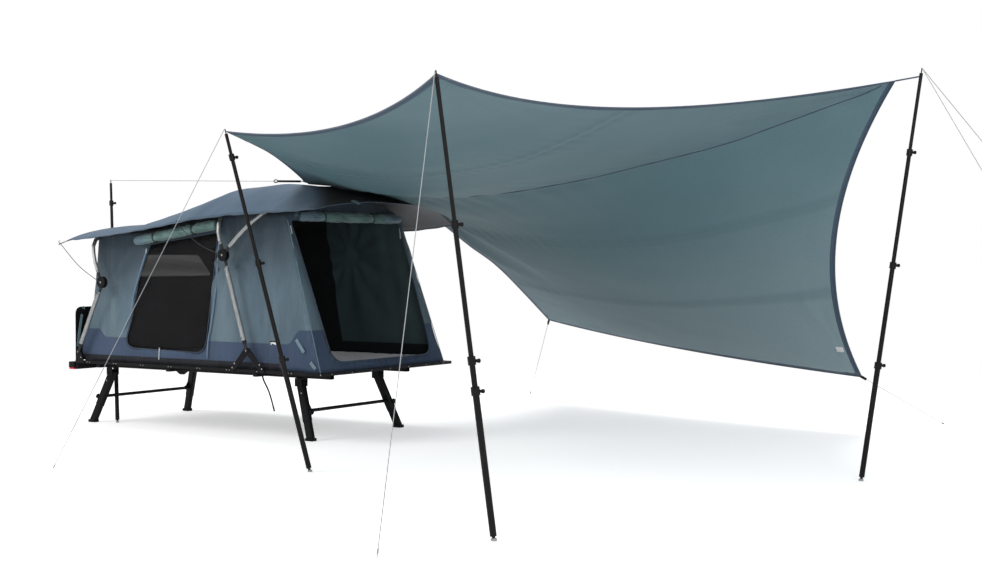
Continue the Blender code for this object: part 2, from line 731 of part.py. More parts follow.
def build_hoop(home, mats, name, hub, crest_x, layer):
    spots, way = hoop_points(hub, crest_x)
    axis = axis_empty("axis_" + name, (hub[0], 0, hub[1]), home)
    mesh = tube_mesh(name, smooth_path(spots, 28), HOOP_R, 1)
    item = add_object(name, mesh, mats["alu"], home["parts"])
    tangs = bmesh.new()
    eyes = bmesh.new()
    for side in (-1, 1):
        toward = (hub[0] + way.x, hub[1] + way.z)
        add_tang(tangs, hub, toward, layer_y(side, layer), TUBE_START + TANG_LAP)
        y0 = side * FRAME_Y
        add_rod(eyes, (hub[0], y0 - 0.03, hub[1]), (hub[0], y0 + 0.03, hub[1]), HUB_PIN_R + RUN, 16)
    weld(item, tangs, home)
    cut(item, eyes, home)
    ride(item, axis, axis.location, home)
    for helper in home["helpers"][name]:
        helper.parent = axis
        helper.location = -axis.location


def build_brackets(home, mats):
    """The stands that the lower tubes turn on: an inverted V at the middle, a fin at the left."""
    foot_z = RIM_TOP - RIM
    for label, base in (("v_bracket", MID_BASE), ("end_bracket", LEFT_BASE)):
        rise = base[1] - foot_z
        if label == "v_bracket":
            outline = [(-V_SPREAD, -rise), (-V_SPREAD + V_FOOT, -rise), (0, -0.030),
                       (V_SPREAD - V_FOOT, -rise), (V_SPREAD, -rise), (0.020, 0.020),
                       (-0.020, 0.020)]
        else:
            outline = [(-0.030, -rise), (0.060, -rise), (0.018, 0.018), (-0.018, 0.018)]
        for side_name, side in (("near", -1), ("far", 1)):
            place = facing_y(base[0], side * PLATE_Y, base[1])
            name = "%s_%s" % (label, side_name)
            item = add_object(name, flat(outline, PLATE_THICK, place), mats["black"], home["parts"])
            end_in = side * (PLATE_Y - PLATE_THICK / 2 - 0.002)
            end_out = side * (FRAME_Y + TANG_THICK / 2 + 0.004)
            weld(item, rod((base[0], end_in, base[1]), (base[0], end_out, base[1]), PIVOT_R), home)


# Tent cloth

def body_size(z):
    """Half the tent's width, and where its door end is, at height z."""
    low = DECK_TOP + BODY_LIFT
    right_top = roof_height(BODY_TOP_RIGHT, BODY_TOP_HALF)
    rise = min((z - low) / (right_top - low), 1.0)
    half = BODY_HALF + (BODY_TOP_HALF - BODY_HALF) * rise
    right = BODY_RIGHT + (BODY_TOP_RIGHT - BODY_RIGHT) * rise
    return half, right


def build_body(home, mats):
    """Four walls and the roof as one shell, with the window and the door left open."""
    low = DECK_TOP + BODY_LIFT
    window_xs = [WINDOW_LEFT, (WINDOW_LEFT + WINDOW_RIGHT) / 2, WINDOW_RIGHT]
    window_cols = (2, 3)
    levels = [low, DOOR_LOW, WINDOW_LOW, 1.02, WINDOW_HIGH, DOOR_HIGH - 0.06]
    window_rows = (2, 3)
    rows = []

    def ring(z, top=False):
        half, right = body_size(z)
        if top:
            half, right = BODY_TOP_HALF, BODY_TOP_RIGHT
        left = BODY_LEFT
        xs = [left, (left + WINDOW_LEFT) / 2, *window_xs]
        xs += [WINDOW_RIGHT + (right - WINDOW_RIGHT) * k / 3 for k in (1, 2, 3)]
        near = [Vector((x, -half, z)) for x in xs]
        door = DOOR_HALF_LOW + (DOOR_HALF_HIGH - DOOR_HALF_LOW) * (z - low) / (DOOR_HIGH - low)
        end = [Vector((right, y, z)) for y in (-door, 0.0, door)]
        far = [Vector((spot.x, half, z)) for spot in reversed(near)]
        left_wall = [Vector((left, y, z)) for y in (0.35, 0.0, -0.35)]
        spots = near + end + far + left_wall
        if top:
            for spot in spots:
                spot.z = roof_height(spot.x, spot.y)
        return spots

    for z in levels:
        rows.append(ring(z))
    rim = ring(levels[-1], top=True)
    rows.append(rim)
    wide_near = len(window_xs) + 5
    door_cols = (wide_near, wide_near + 1)
    door_rows = (1, 2, 3, 4)
    holes = {(i, j) for i in window_rows for j in window_cols}
    holes |= {(i, j) for i in door_rows for j in door_cols}
    # The top of the left end is lower than the walls' last level
    for row in rows[:-1]:
        for spot, edge in zip(row, rim):
            spot.z = min(spot.z, edge.z - 0.03 * (len(rows) - 1 - rows.index(row)))
    # Roof: strips from the near eave to the far one
    bm = bmesh.new()
    grid = [[bm.verts.new(spot) for spot in row] for row in rows]
    wide = len(rows[0])
    for i in range(len(rows) - 1):
        for j in range(wide):
            if (i, j) in holes:
                continue
            k = (j + 1) % wide
            bm.faces.new((grid[i][j], grid[i][k], grid[i + 1][k], grid[i + 1][j]))
    near_top = grid[-1][:wide_near]
    far_top = list(reversed(grid[-1][wide_near + 3:2 * wide_near + 3]))
    end_top = grid[-1][wide_near:wide_near + 3]
    left_top = list(reversed(grid[-1][2 * wide_near + 3:]))
    columns = [near_top]
    for k, y in enumerate((-0.35, 0.0, 0.35)):
        line = [left_top[k]]
        for spot in near_top[1:-1]:
            x = spot.co.x
            line.append(bm.verts.new((x, y, roof_height(x, y))))
        line.append(end_top[k])
        columns.append(line)
    columns.append(far_top)
    for a, b in zip(columns, columns[1:]):
        for k in range(len(a) - 1):
            bm.faces.new((a[k], a[k + 1], b[k + 1], b[k]))
    loose = [vert for vert in bm.verts if not vert.link_faces]
    bmesh.ops.delete(bm, geom=loose, context="VERTS")
    mesh = mesh_from(bm, "tent_body")
    item = add_object("tent_body", mesh, mats["blue"], home["parts"])
    add_wall(item, CLOTH, -1.0)


def build_fly(home, mats):
    rows = []
    xs = [FLY_LEFT, -1.10, -0.94, -0.50, -0.06, 0.20, 0.37, 0.60, 0.98, 1.20, FLY_RIGHT]
    for x in xs:
        row = []
        for k in range(17):
            y = FLY_HALF * (2 * k / 16 - 1)
            row.append(Vector((x, y, fly_height(x, y))))
        rows.append(row)
    mesh = sheet_mesh("fly", rows)
    item = add_object("fly", mesh, mats["navy"], home["parts"])
    add_wall(item, CLOTH, 1.0)


def build_inside(home, mats):
    """The mattress, the window's screen and the rolled flaps."""
    bm = bmesh.new()
    low = DECK_TOP + SEAT
    x0, x1 = BODY_LEFT + MATTRESS_INSET, BODY_RIGHT - MATTRESS_INSET
    half = BODY_HALF - MATTRESS_INSET
    add_box(bm, (x1 - x0, 2 * half, MATTRESS_THICK),
            Matrix.Translation(((x0 + x1) / 2, 0, low + MATTRESS_THICK / 2)), 0.012)
    add_object("mattress", mesh_from(bm, "mattress"), mats["grey"], home["parts"])
    half_low, _ = body_size(WINDOW_LOW)
    half_high, _ = body_size(WINDOW_HIGH)
    inset = CLOTH + 0.003
    lap = 0.02
    slope = (half_high - half_low) / (WINDOW_HIGH - WINDOW_LOW)
    corners = []
    for x, z in ((WINDOW_LEFT - lap, WINDOW_LOW - lap), (WINDOW_RIGHT + lap, WINDOW_LOW - lap),
                 (WINDOW_RIGHT + lap, WINDOW_HIGH + lap), (WINDOW_LEFT - lap, WINDOW_HIGH + lap)):
        half = half_low + slope * (z - WINDOW_LOW)
        corners.append(Vector((x, -half + inset, z)))
    bm = bmesh.new()
    bm.faces.new([bm.verts.new(spot) for spot in corners])
    mesh = bpy.data.meshes.new("window_screen")
    bm.to_mesh(mesh)
    bm.free()
    item = add_object("window_screen", mesh, mats["mesh"], home["parts"])
    add_wall(item, 0.002, 1.0)


def build_rolls(home, mats):
    """The window's flap and the door, each rolled up over its opening."""
    z = WINDOW_HIGH + 0.045
    half, _ = body_size(z)
    y = -half - ROLL_R + 0.0001
    path = []
    for k in range(9):
        t = k / 8
        x = WINDOW_LEFT - 0.04 + (WINDOW_RIGHT - WINDOW_LEFT + 0.08) * t
        ceiling = fly_height(x, y) - ROLL_R - 0.010
        path.append(Vector((x, y, min(z + 0.10 * t, ceiling))))
    mesh = tube_mesh("window_roll", path, ROLL_R, 2)
    add_object("window_roll", mesh, mats["teal"], home["parts"])
    x = BODY_TOP_RIGHT + ROLL_R + 0.0182
    path = []
    for k in range(9):
        y = DOOR_HALF_HIGH * 1.08 * (2 * k / 8 - 1)
        ceiling = fly_height(x, y) - ROLL_R - 0.014
        path.append(Vector((x, y, min(DOOR_HIGH + 0.10, ceiling))))
    mesh = tube_mesh("door_roll", path, ROLL_R, 2)
    add_object("door_roll", mesh, mats["teal"], home["parts"])


# Tarp, poles and lines

def pole_line(index):
    """A pole's foot, the direction up it, and its length."""
    foot = Vector((*POLE_FEET[index], 0.0))
    tip = Vector(POLE_TIPS[index])
    return foot, (tip - foot).normalized(), (tip - foot).length


def build_pole(home, mats, index):
    """Telescoping tubes: the lowest, with its clamp collar, slides on the stepped rest."""
    foot, way, long = pole_line(index)
    cuts = [long * share for share in POLE_COLLARS[index]]
    place = frame_at(foot, way)
    half = COLLAR_LONG / 2
    outline = [(0, long), (SPIKE_R, long), (SPIKE_R, long - SPIKE_LONG),
               (POLE_TUBES[3], long - SPIKE_LONG)]
    for at, thin, thick in ((cuts[2], 3, 2), (cuts[1], 2, 1)):
        collar = POLE_TUBES[thick] + COLLAR_WALL
        outline += [(POLE_TUBES[thin], at + half), (collar, at + half), (collar, at - half),
                    (POLE_TUBES[thick], at - half)]
    bottom = cuts[0] - POLE_LAPS[index]
    outline += [(POLE_TUBES[1], bottom), (0, bottom)]
    turned("pole_%d_upper" % index, outline, place, 14, mats["black"], home)

    axis = axis_empty("axis_pole_%d" % index, foot, home)
    inside = POLE_TUBES[0] - POLE_WALL
    collar = POLE_TUBES[0] + COLLAR_WALL
    top = cuts[0] + COLLAR_LONG
    floor = FOOT_LONG + 0.018
    outline = [(0, floor), (inside, floor), (inside, top), (collar, top), (collar, cuts[0]),
               (POLE_TUBES[0], cuts[0]), (POLE_TUBES[0], FOOT_LONG), (FOOT_R, FOOT_LONG),
               (FOOT_R, -FOOT_LONG), (0, -FOOT_LONG)]
    lower = turned("pole_%d_lower" % index, outline, place, 14, mats["black"], home)
    ground = box((0.2, 0.2, 0.1), (foot.x, foot.y, -0.05))
    cut(lower, ground, home)
    lower.location = lower.location - axis.location
    lower.parent = axis


def edge_points(a, b, bow, count):
    """Points from a to b, drawn off the straight line by bow in the middle."""
    a, b, bow = Vector(a), Vector(b), Vector(bow)
    return [a.lerp(b, k / (count - 1)) + bow * (4 * (k / (count - 1)) * (1 - k / (count - 1)))
            for k in range(count)]


def panel(first, last, start, stop, belly):
    """Rows of points between two long edges and two short ones, with a belly in the middle."""
    rows = []
    steps, across = len(start), len(first)
    for i in range(steps):
        s = i / (steps - 1)
        row = []
        for j in range(across):
            t = j / (across - 1)
            flat = first[0].lerp(first[-1], t).lerp(last[0].lerp(last[-1], t), s)
            spot = first[j].lerp(last[j], s) + start[i].lerp(stop[i], t) - flat
            row.append(spot + belly * (16 * s * (1 - s) * t * (1 - t)))
        rows.append(row)
    return rows


def build_tarp(home, mats):
    """One sheet: a roof half up to the ridge and a wall half from the ridge to the back edge."""
    across = 17
    near = edge_points(TARP_NEAR_LEFT, TARP_NEAR_RIGHT, TARP_BOWS["near"], across)
    ridge = edge_points(TARP_RIDGE_LEFT, TARP_RIDGE_RIGHT, TARP_BOWS["ridge"], across)
    far = edge_points(TARP_LOW_BACK, TARP_LOW_RIGHT, TARP_BOWS["far"], across)
    left = edge_points(TARP_NEAR_LEFT, TARP_RIDGE_LEFT, TARP_BOWS["left"], 9)
    right = edge_points(TARP_NEAR_RIGHT, TARP_RIDGE_RIGHT, TARP_BOWS["right"], 9)
    over = smooth_path((TARP_RIDGE_LEFT, *TARP_OVER_FLY, TARP_LOW_BACK), 11)
    far_right = edge_points(TARP_RIDGE_RIGHT, TARP_LOW_RIGHT, TARP_BOWS["far_right"], 11)
    roof = panel(near, ridge, left, right, Vector((0, 0, -0.03)))
    wall = panel(ridge, far, over, far_right, Vector((0, 0.10, 0)))
    mesh = sheet_mesh("tarp", roof + wall[1:])
    item = add_object("tarp", mesh, mats["tarp"], home["parts"])
    add_wall(item, TARP_THICK, 0.0)


def straight(a, b, count=6):
    a, b = Vector(a), Vector(b)
    return [a.lerp(b, k / (count - 1)) for k in range(count)]


def beside(index, end):
    """The point next to a pole's spike where a line to end starts."""
    foot, up, long = pole_line(index)
    tip = foot + up * (long - 0.004)
    way = (Vector(end) - tip).normalized()
    out = Vector((way.x, way.y, 0)).normalized()
    return tip + out * (SPIKE_R + CORD_R * abs(way.z) + 0.0008)


def past(corner, end, name):
    """The point just off a tarp corner where a line to end starts."""
    corner = Vector(corner)
    return corner + (Vector(end) - corner).normalized() * CORNER_GAPS[name]


def build_lines(home, mats):
    """The guy lines, from spikes and tarp corners to the ground, and two that run out of sight."""
    ends = [Vector((x, y, CORD_R + 0.001)) for x, y in GUY_ENDS]
    tips = [Vector(tip) for tip in POLE_TIPS]
    corner = past(TARP_RIDGE_LEFT, tips[0], "ridge")
    runs = {"guy_ridge": (beside(0, corner), corner),
            "guy_pole_1": (beside(1, ends[0]), ends[0]),
            "guy_pole_2": (beside(2, ends[1]), ends[1]),
            "guy_back": (past(TARP_LOW_BACK, ends[2], "back"), ends[2]),
            "guy_wall": (past(TARP_LOW_RIGHT, ends[3], "wall"), ends[3]),
            "guy_out_far": (beside(3, LEAVING_ENDS[0]), LEAVING_ENDS[0]),
            "guy_out_near": (beside(3, LEAVING_ENDS[1]), LEAVING_ENDS[1])}
    for name, (a, b) in runs.items():
        add_object(name, tube_mesh(name, straight(a, b), CORD_R, 2), mats["white"], home["parts"])
    foot, way, long = pole_line(3)
    held = foot + way * (long - SPIKE_LONG * 1.6)
    toward = (Vector(TARP_RIDGE_RIGHT) - held).normalized()
    start = held + toward * (POLE_TUBES[3] + 0.0009)
    end = past(TARP_RIDGE_RIGHT, held, "strap")
    add_object("tarp_strap", tube_mesh("tarp_strap", straight(start, end), 0.005, 2), mats["plastic"],
               home["parts"])
    strap = smooth_path([(x, -RAIL_Y, z) for x, z in STRAP_PATH], 14)
    add_object("pull_strap", tube_mesh("pull_strap", strap, 0.006, 2), mats["plastic"], home["parts"])


def build_elastics(home, mats):
    """The elastic loops that hold the fly's near hem down to the hubs."""
    out = FRAME_Y + TANG_THICK * 1.5 + SEAT * 3 + HUB_CHEEK + ELASTIC_R + SEAT
    for name, hub, x in (("elastic_left", LEFT_HUB, FLY_LEFT + 0.08), ("elastic_mid", MID_HUB, 0.10)):
        top = Vector((x, -FLY_HALF + 0.006, fly_height(x, FLY_HALF) - ELASTIC_R - 0.0026))
        low = Vector((hub[0], -out, hub[1]))
        middle = (top + low) / 2 + Vector((0, -0.004, -0.03))
        mesh = tube_mesh(name, smooth_path((top, middle, low), 10), ELASTIC_R, 2)
        add_object(name, mesh, mats["plastic"], home["parts"])


def centre_on_ground(home):
    """Puts every piece under one empty, so that the base's middle is the origin."""
    bpy.context.view_layer.update()
    deps = bpy.context.evaluated_depsgraph_get()
    low = Vector((1e9, 1e9, 1e9))
    high = -low
    for item in home["parts"].objects:
        if item.type != "MESH" or item.name.startswith(LOOSE):
            continue
        evaluated = item.evaluated_get(deps)
        mesh = evaluated.to_mesh()
        for vert in mesh.vertices:
            spot = item.matrix_world @ vert.co
            low = Vector(min(a, b) for a, b in zip(low, spot))
            high = Vector(max(a, b) for a, b in zip(high, spot))
        evaluated.to_mesh_clear()
    root = axis_empty("root", (-(low.x + high.x) / 2, -(low.y + high.y) / 2, -low.z), home)
    for label in ("parts", "cutters"):
        for item in home[label].objects:
            if item.parent is None and item is not root:
                item.parent = root
    bpy.context.view_layer.update()
    print("shift", tuple(round(value, 6) for value in root.location))


def main():
    clear_scene()
    home = {"helpers": {}}
    for label, title in (("parts", "hitch_tent"), ("cutters", "cutters")):
        found = bpy.data.collections.new(title)
        bpy.context.scene.collection.children.link(found)
        home[label] = found
    mats = {
        "black": material("black_coat", BLACK, 0.45, 0.6),
        "alu": material("aluminium", ALU, 0.38, 1.0),
        "plastic": material("black_plastic", (0.015, 0.015, 0.016), 0.5),
        "lens": material("red_lens", (0.45, 0.01, 0.01), 0.15),
        "deck": material("deck_board", (0.02, 0.02, 0.02), 0.6),
        "blue": material("blue_cloth", (0.13, 0.20, 0.25), 0.85),
        "navy": material("navy_cloth", (0.07, 0.11, 0.17), 0.85),
        "teal": material("teal_cloth", (0.10, 0.19, 0.19), 0.85),
        "tarp": material("tarp_cloth", (0.11, 0.20, 0.21), 0.8),
        "mesh": material("black_mesh", (0.01, 0.01, 0.012), 0.9),
        "grey": material("grey_cloth", (0.25, 0.25, 0.27), 0.9),
        "white": material("white_cord", (0.8, 0.8, 0.8), 0.7),
    }
    build_chassis(home, mats)
    build_deck(home, mats)
    build_lamps(home, mats)
    build_end_panel(home, mats)
    build_legs(home, mats)
    build_arch(home, mats, "left", LEFT_BASE, LEFT_HUB, (-1, 1))
    build_arch(home, mats, "mid", MID_BASE, MID_HUB, (-1, 0, 1))
    build_hoop(home, mats, "hoop_left", LEFT_HUB, LEFT_CREST_X, 1)
    build_hoop(home, mats, "hoop_mid", MID_HUB, MID_A_CREST_X, 0)
    build_hoop(home, mats, "hoop_door", MID_HUB, MID_B_CREST_X, 1)
    build_brackets(home, mats)
    build_body(home, mats)
    build_fly(home, mats)
    build_inside(home, mats)
    build_rolls(home, mats)
    for index in range(4):
        build_pole(home, mats, index)
    build_tarp(home, mats)
    build_lines(home, mats)
    build_elastics(home, mats)
    centre_on_ground(home)


main()
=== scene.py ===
import bpy
import bmesh
import json
import math
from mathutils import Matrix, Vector, kdtree, noise
from mathutils.geometry import delaunay_2d_cdt

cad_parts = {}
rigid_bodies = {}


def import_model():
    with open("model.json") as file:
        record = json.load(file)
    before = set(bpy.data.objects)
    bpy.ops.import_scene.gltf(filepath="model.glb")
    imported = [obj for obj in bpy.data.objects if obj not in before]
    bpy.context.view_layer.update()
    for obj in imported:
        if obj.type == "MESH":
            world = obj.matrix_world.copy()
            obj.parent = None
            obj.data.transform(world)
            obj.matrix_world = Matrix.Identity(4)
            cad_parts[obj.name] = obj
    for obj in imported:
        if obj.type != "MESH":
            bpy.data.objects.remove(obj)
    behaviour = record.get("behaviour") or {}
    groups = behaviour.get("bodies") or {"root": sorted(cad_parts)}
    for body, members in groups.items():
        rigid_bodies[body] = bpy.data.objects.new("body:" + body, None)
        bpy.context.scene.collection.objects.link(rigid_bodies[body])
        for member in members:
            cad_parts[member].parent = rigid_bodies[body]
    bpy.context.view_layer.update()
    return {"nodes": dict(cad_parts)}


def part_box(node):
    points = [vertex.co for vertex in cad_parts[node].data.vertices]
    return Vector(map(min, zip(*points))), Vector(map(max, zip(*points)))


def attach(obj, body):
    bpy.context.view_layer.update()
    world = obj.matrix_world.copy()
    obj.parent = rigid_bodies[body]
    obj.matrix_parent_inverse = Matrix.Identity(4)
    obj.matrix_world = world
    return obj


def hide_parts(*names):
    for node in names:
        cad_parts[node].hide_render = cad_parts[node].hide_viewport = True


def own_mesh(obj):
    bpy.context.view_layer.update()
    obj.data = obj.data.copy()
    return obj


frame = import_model()
nodes = frame["nodes"]
shift = Vector((-1.929818, 0.14755, 0.0))  # from the middle of the tent to the frame's origin


def at(x, y, z):
    return Vector((x, y, z)) + shift


def moved(points, by=shift):
    return [p + by for p in points]


# Camera: 55 mm at eye height, looking a little down, level horizon

view = {"eye": (8.0146, -8.6300, 1.3), "heading": (-0.5519, 0.8339), "down": 1.203, "lens": 55.0}


def makeCamera():
    data = bpy.data.cameras.new("camera")
    data.lens = view["lens"]
    data.sensor_width = 36.0
    data.clip_end = 200
    camera = bpy.data.objects.new("camera", data)
    bpy.context.scene.collection.objects.link(camera)
    tilt = math.radians(view["down"])
    hx, hy = view["heading"]
    look = Vector((hx * math.cos(tilt), hy * math.cos(tilt), -math.sin(tilt)))
    camera.rotation_euler = look.to_track_quat("-Z", "Y").to_euler()
    camera.location = at(*view["eye"])
    bpy.context.scene.camera = camera


makeCamera()
print("camera set")


# Shader maths: a socket that adds a Math node for each operator in an expression

def addNode(tree, kind, settings=None, inputs=None):  # settings come first, then its sockets' values or links
    node = tree.nodes.new(kind)
    for key, value in (settings or {}).items():
        setattr(node, key, value)
    for key, value in (inputs or {}).items():
        if isinstance(value, Sock):
            value = value.out
        if isinstance(value, bpy.types.NodeSocket):
            tree.links.new(value, node.inputs[key])
        elif value is not None:
            node.inputs[key].default_value = value
    return node


def maths(kind, reflected=False):
    def made(self, other=None):
        a, b = (other, self) if reflected else (self, other)
        node = addNode(self.tree, "ShaderNodeMath", {"operation": kind}, {0: a, 1: b})
        return Sock(self.tree, node.outputs[0])
    return made


class Sock:
    def __init__(self, tree, out):
        self.tree = tree
        self.out = out

    __add__ = maths("ADD")
    __radd__ = maths("ADD", reflected=True)
    __sub__ = maths("SUBTRACT")
    __rsub__ = maths("SUBTRACT", reflected=True)
    __mul__ = maths("MULTIPLY")
    __rmul__ = maths("MULTIPLY", reflected=True)
    __pow__ = maths("POWER")
    abs = maths("ABSOLUTE")
    sin = maths("SINE")
    least = maths("MINIMUM")
    most = maths("MAXIMUM")

    def ramp(self, low, high):  # 0 below low, 1 above high, smooth between
        node = addNode(self.tree, "ShaderNodeMapRange", {"interpolation_type": "SMOOTHSTEP"},
                       {0: self, 1: low, 2: high})
        return Sock(self.tree, node.outputs[0])


class Shader:
    def __init__(self, name, colour, rough, metal=0.0, sheen=0.0, coat=0.0, specular=0.2):
        self.mat = bpy.data.materials.new(name)
        self.mat.use_nodes = True
        self.tree = self.mat.node_tree
        self.main = self.tree.nodes["Principled BSDF"]
        even = {"Base Color": (*colour, 1), "Roughness": rough, "Metallic": metal, "Sheen Weight": sheen,
                "Coat Weight": coat, "Specular IOR Level": specular}
        for socket, value in even.items():
            self.main.inputs[socket].default_value = value

    def node(self, kind, settings=None, inputs=None, out=0):
        return Sock(self.tree, addNode(self.tree, kind, settings, inputs).outputs[out])

    def coords(self, scale=(1, 1, 1), turn=(0, 0, 0)):
        place = self.node("ShaderNodeTexCoord", out="Object")
        return self.node("ShaderNodeMapping", None, {"Vector": place, "Scale": scale, "Rotation": turn})

    def axes(self, vector):
        parts = addNode(self.tree, "ShaderNodeSeparateXYZ", None, {0: vector})
        return [Sock(self.tree, out) for out in parts.outputs]

    def noise(self, vector, scale, detail=3.0, rough=0.5):
        return self.node("ShaderNodeTexNoise", None,
                         {"Vector": vector, "Scale": scale, "Detail": detail, "Roughness": rough})

    def mix(self, mask, a, b):
        a, b = [value if isinstance(value, Sock) else (*value, 1) for value in (a, b)]
        return self.node("ShaderNodeMix", {"data_type": "RGBA"}, {0: mask, 6: a, 7: b}, out=2)

    def feed(self, socket, value):
        self.tree.links.new(value.out, self.main.inputs[socket])

    def bump(self, height, strength, distance):
        self.feed("Normal", self.node("ShaderNodeBump", None,
                                      {"Height": height, "Strength": strength, "Distance": distance}))


# Finishes

colours = {"teal": (0.066, 0.138, 0.158), "tealPaleAndLit": (0.126, 0.200, 0.224),
           "tealPaintedLight": (0.310, 0.405, 0.435), "tarpHem": (0.050, 0.078, 0.112),
           "seamShade": (0.050, 0.105, 0.122), "seamHighlight": (0.165, 0.250, 0.275),
           "hem": (0.034, 0.058, 0.092), "hemPale": (0.070, 0.098, 0.138),
           "slate": (0.054, 0.090, 0.136), "slatePale": (0.082, 0.126, 0.174),
           "slateRidge": (0.115, 0.150, 0.205), "slateGrain": (0.03, 0.045, 0.07),
           "wall": (0.090, 0.140, 0.180), "wallPale": (0.135, 0.190, 0.225),
           "wallFoldShade": (0.045, 0.070, 0.094), "wallFlyShadow": (0.024, 0.038, 0.052),
           "wallGrain": (0.05, 0.07, 0.09), "skirt": (0.008, 0.008, 0.012),
           "navy": (0.036, 0.058, 0.105), "navyPale": (0.050, 0.078, 0.135), "navyLine": (0.03, 0.045, 0.08),
           "inner": (0.038, 0.060, 0.062), "innerPale": (0.056, 0.086, 0.088),
           "innerBlack": (0.006, 0.007, 0.008), "flyTarpShadow": (0.007, 0.008, 0.010),
           "green": (0.080, 0.155, 0.145), "greenPale": (0.125, 0.220, 0.205),
           "greenFoldShade": (0.030, 0.060, 0.060), "facing": (0.110, 0.170, 0.230),
           "black": (0.008, 0.008, 0.009), "worn": (0.026, 0.026, 0.027),
           "tube": (0.32, 0.33, 0.33), "tubeDark": (0.24, 0.25, 0.25), "tubePale": (0.34, 0.35, 0.35),
           "lens": (0.60, 0.010, 0.014), "lensClear": (0.62, 0.60, 0.58), "lensRib": (0.16, 0.004, 0.004)}
arches = {"left": {"hub": (-0.717, 1.109), "base": (-0.985, 0.572)},
          "mid": {"hub": (0.534, 1.314), "base": (0.751, 0.640)}}


def weave(shader, vector, step):  # fine crossed waves
    x, y, z = [(axis * (2 * math.pi / step)).sin() * 0.5 for axis in shader.axes(vector)]
    return x + z + y


def clothMat(name, colour, other, rough=0.62, sheen=0.25, patch=3.0):  # colour drift, weave, creases
    shader = Shader(name, colour, rough, sheen=sheen)
    where = shader.coords()
    drift = shader.noise(where, patch, 4.0)
    fine = shader.noise(where, 90.0, 2.0)
    tone = shader.mix(drift.ramp(0.30, 0.72), colour, other)
    tone = shader.mix(fine.ramp(0.35, 0.8) * 0.16, tone, tuple(c * 0.62 for c in colour))
    shader.feed("Base Color", tone)
    shader.feed("Roughness", drift * 0.18 + (rough - 0.09))
    crease = shader.noise(shader.coords(scale=(1.0, 1.0, 0.35)), 16.0, 5.0, 0.6)
    shader.bump(crease * 0.7 + weave(shader, where, 0.0016) * 0.02 + fine * 0.05, 0.35, 0.006)
    return shader.mat


# The tarp's mesh carries two attributes: metres from its edge, and from its nearest seam
tarpCloth = {"hem": (0.036, 0.040), "seamShade": (0.02, 0.09), "seamHighlight": (0.004, 0.026),
             "stitches": 0.010, "stitchWide": 0.003}


def tarpMat():
    shader = Shader("tarp cloth", colours["teal"], 0.65, sheen=0.03, specular=0.12)
    hem, seam = [shader.node("ShaderNodeAttribute", {"attribute_name": name}, out="Fac")
                 for name in ("edge", "seam")]
    where = shader.coords()
    x, y, z = shader.axes(where)
    drift = shader.noise(where, 0.8, 3.0)
    fine = shader.noise(shader.coords(scale=(1, 1, 3)), 60.0, 3.0)
    # Lighter in random patches, and painted light that grows towards the right end
    driftAndPaintedLight = drift.ramp(0.3, 0.7) * 0.45 + x.ramp(-0.8, 3.4) * 0.55
    tone = shader.mix(driftAndPaintedLight, colours["teal"], colours["tealPaleAndLit"])
    # Painted light: the tarp's wall half lighter, more so towards its right end
    tone = shader.mix(y.ramp(0.25, 2.1) * (x.ramp(-0.2, 2.6) * 0.58 + 0.22), tone, colours["tealPaintedLight"])
    tone = shader.mix(fine.ramp(0.4, 0.8) * 0.12, tone, colours["hem"])
    # Painted shade in a band beside each seam, and a painted highlight on the seam itself
    tone = shader.mix((1.0 - seam.ramp(*tarpCloth["seamShade"])) * 0.22, tone, colours["seamShade"])
    tone = shader.mix((1.0 - seam.ramp(*tarpCloth["seamHighlight"])) * 0.32, tone, colours["seamHighlight"])
    tone = shader.mix(1.0 - hem.ramp(*tarpCloth["hem"]), tone, colours["tarpHem"])
    shader.feed("Base Color", tone)
    shader.feed("Roughness", drift * 0.2 + 0.5)
    stitch = (1.0 - (seam - tarpCloth["stitches"]).abs().ramp(0.0, tarpCloth["stitchWide"])) * 0.6
    crease = shader.noise(shader.coords(scale=(1.0, 1.0, 0.6)), 9.0, 5.0, 0.6)
    shader.bump(crease * 0.8 + stitch * 0.2 + fine * 0.05, 0.3, 0.008)
    return shader.mat


# Places in the frame: the navy band, which rises at the door and at the left corner, the black hem, and the
# painted shadow of the fly on the upper walls
wallCloth = {"band": 0.69, "bandAtDoor": 0.10, "doorFrom": (-0.86, -0.74), "bandAtLeft": 0.06,
             "leftPatch": -2.83, "leftWide": (0.06, 0.16),
             "skirt": 0.555, "skirtEnds": (-0.93, -0.88), "shade": (1.02, 1.46),
             "shadeLeft": (-2.55, -2.15), "shadeRight": (-1.0, -0.7)}


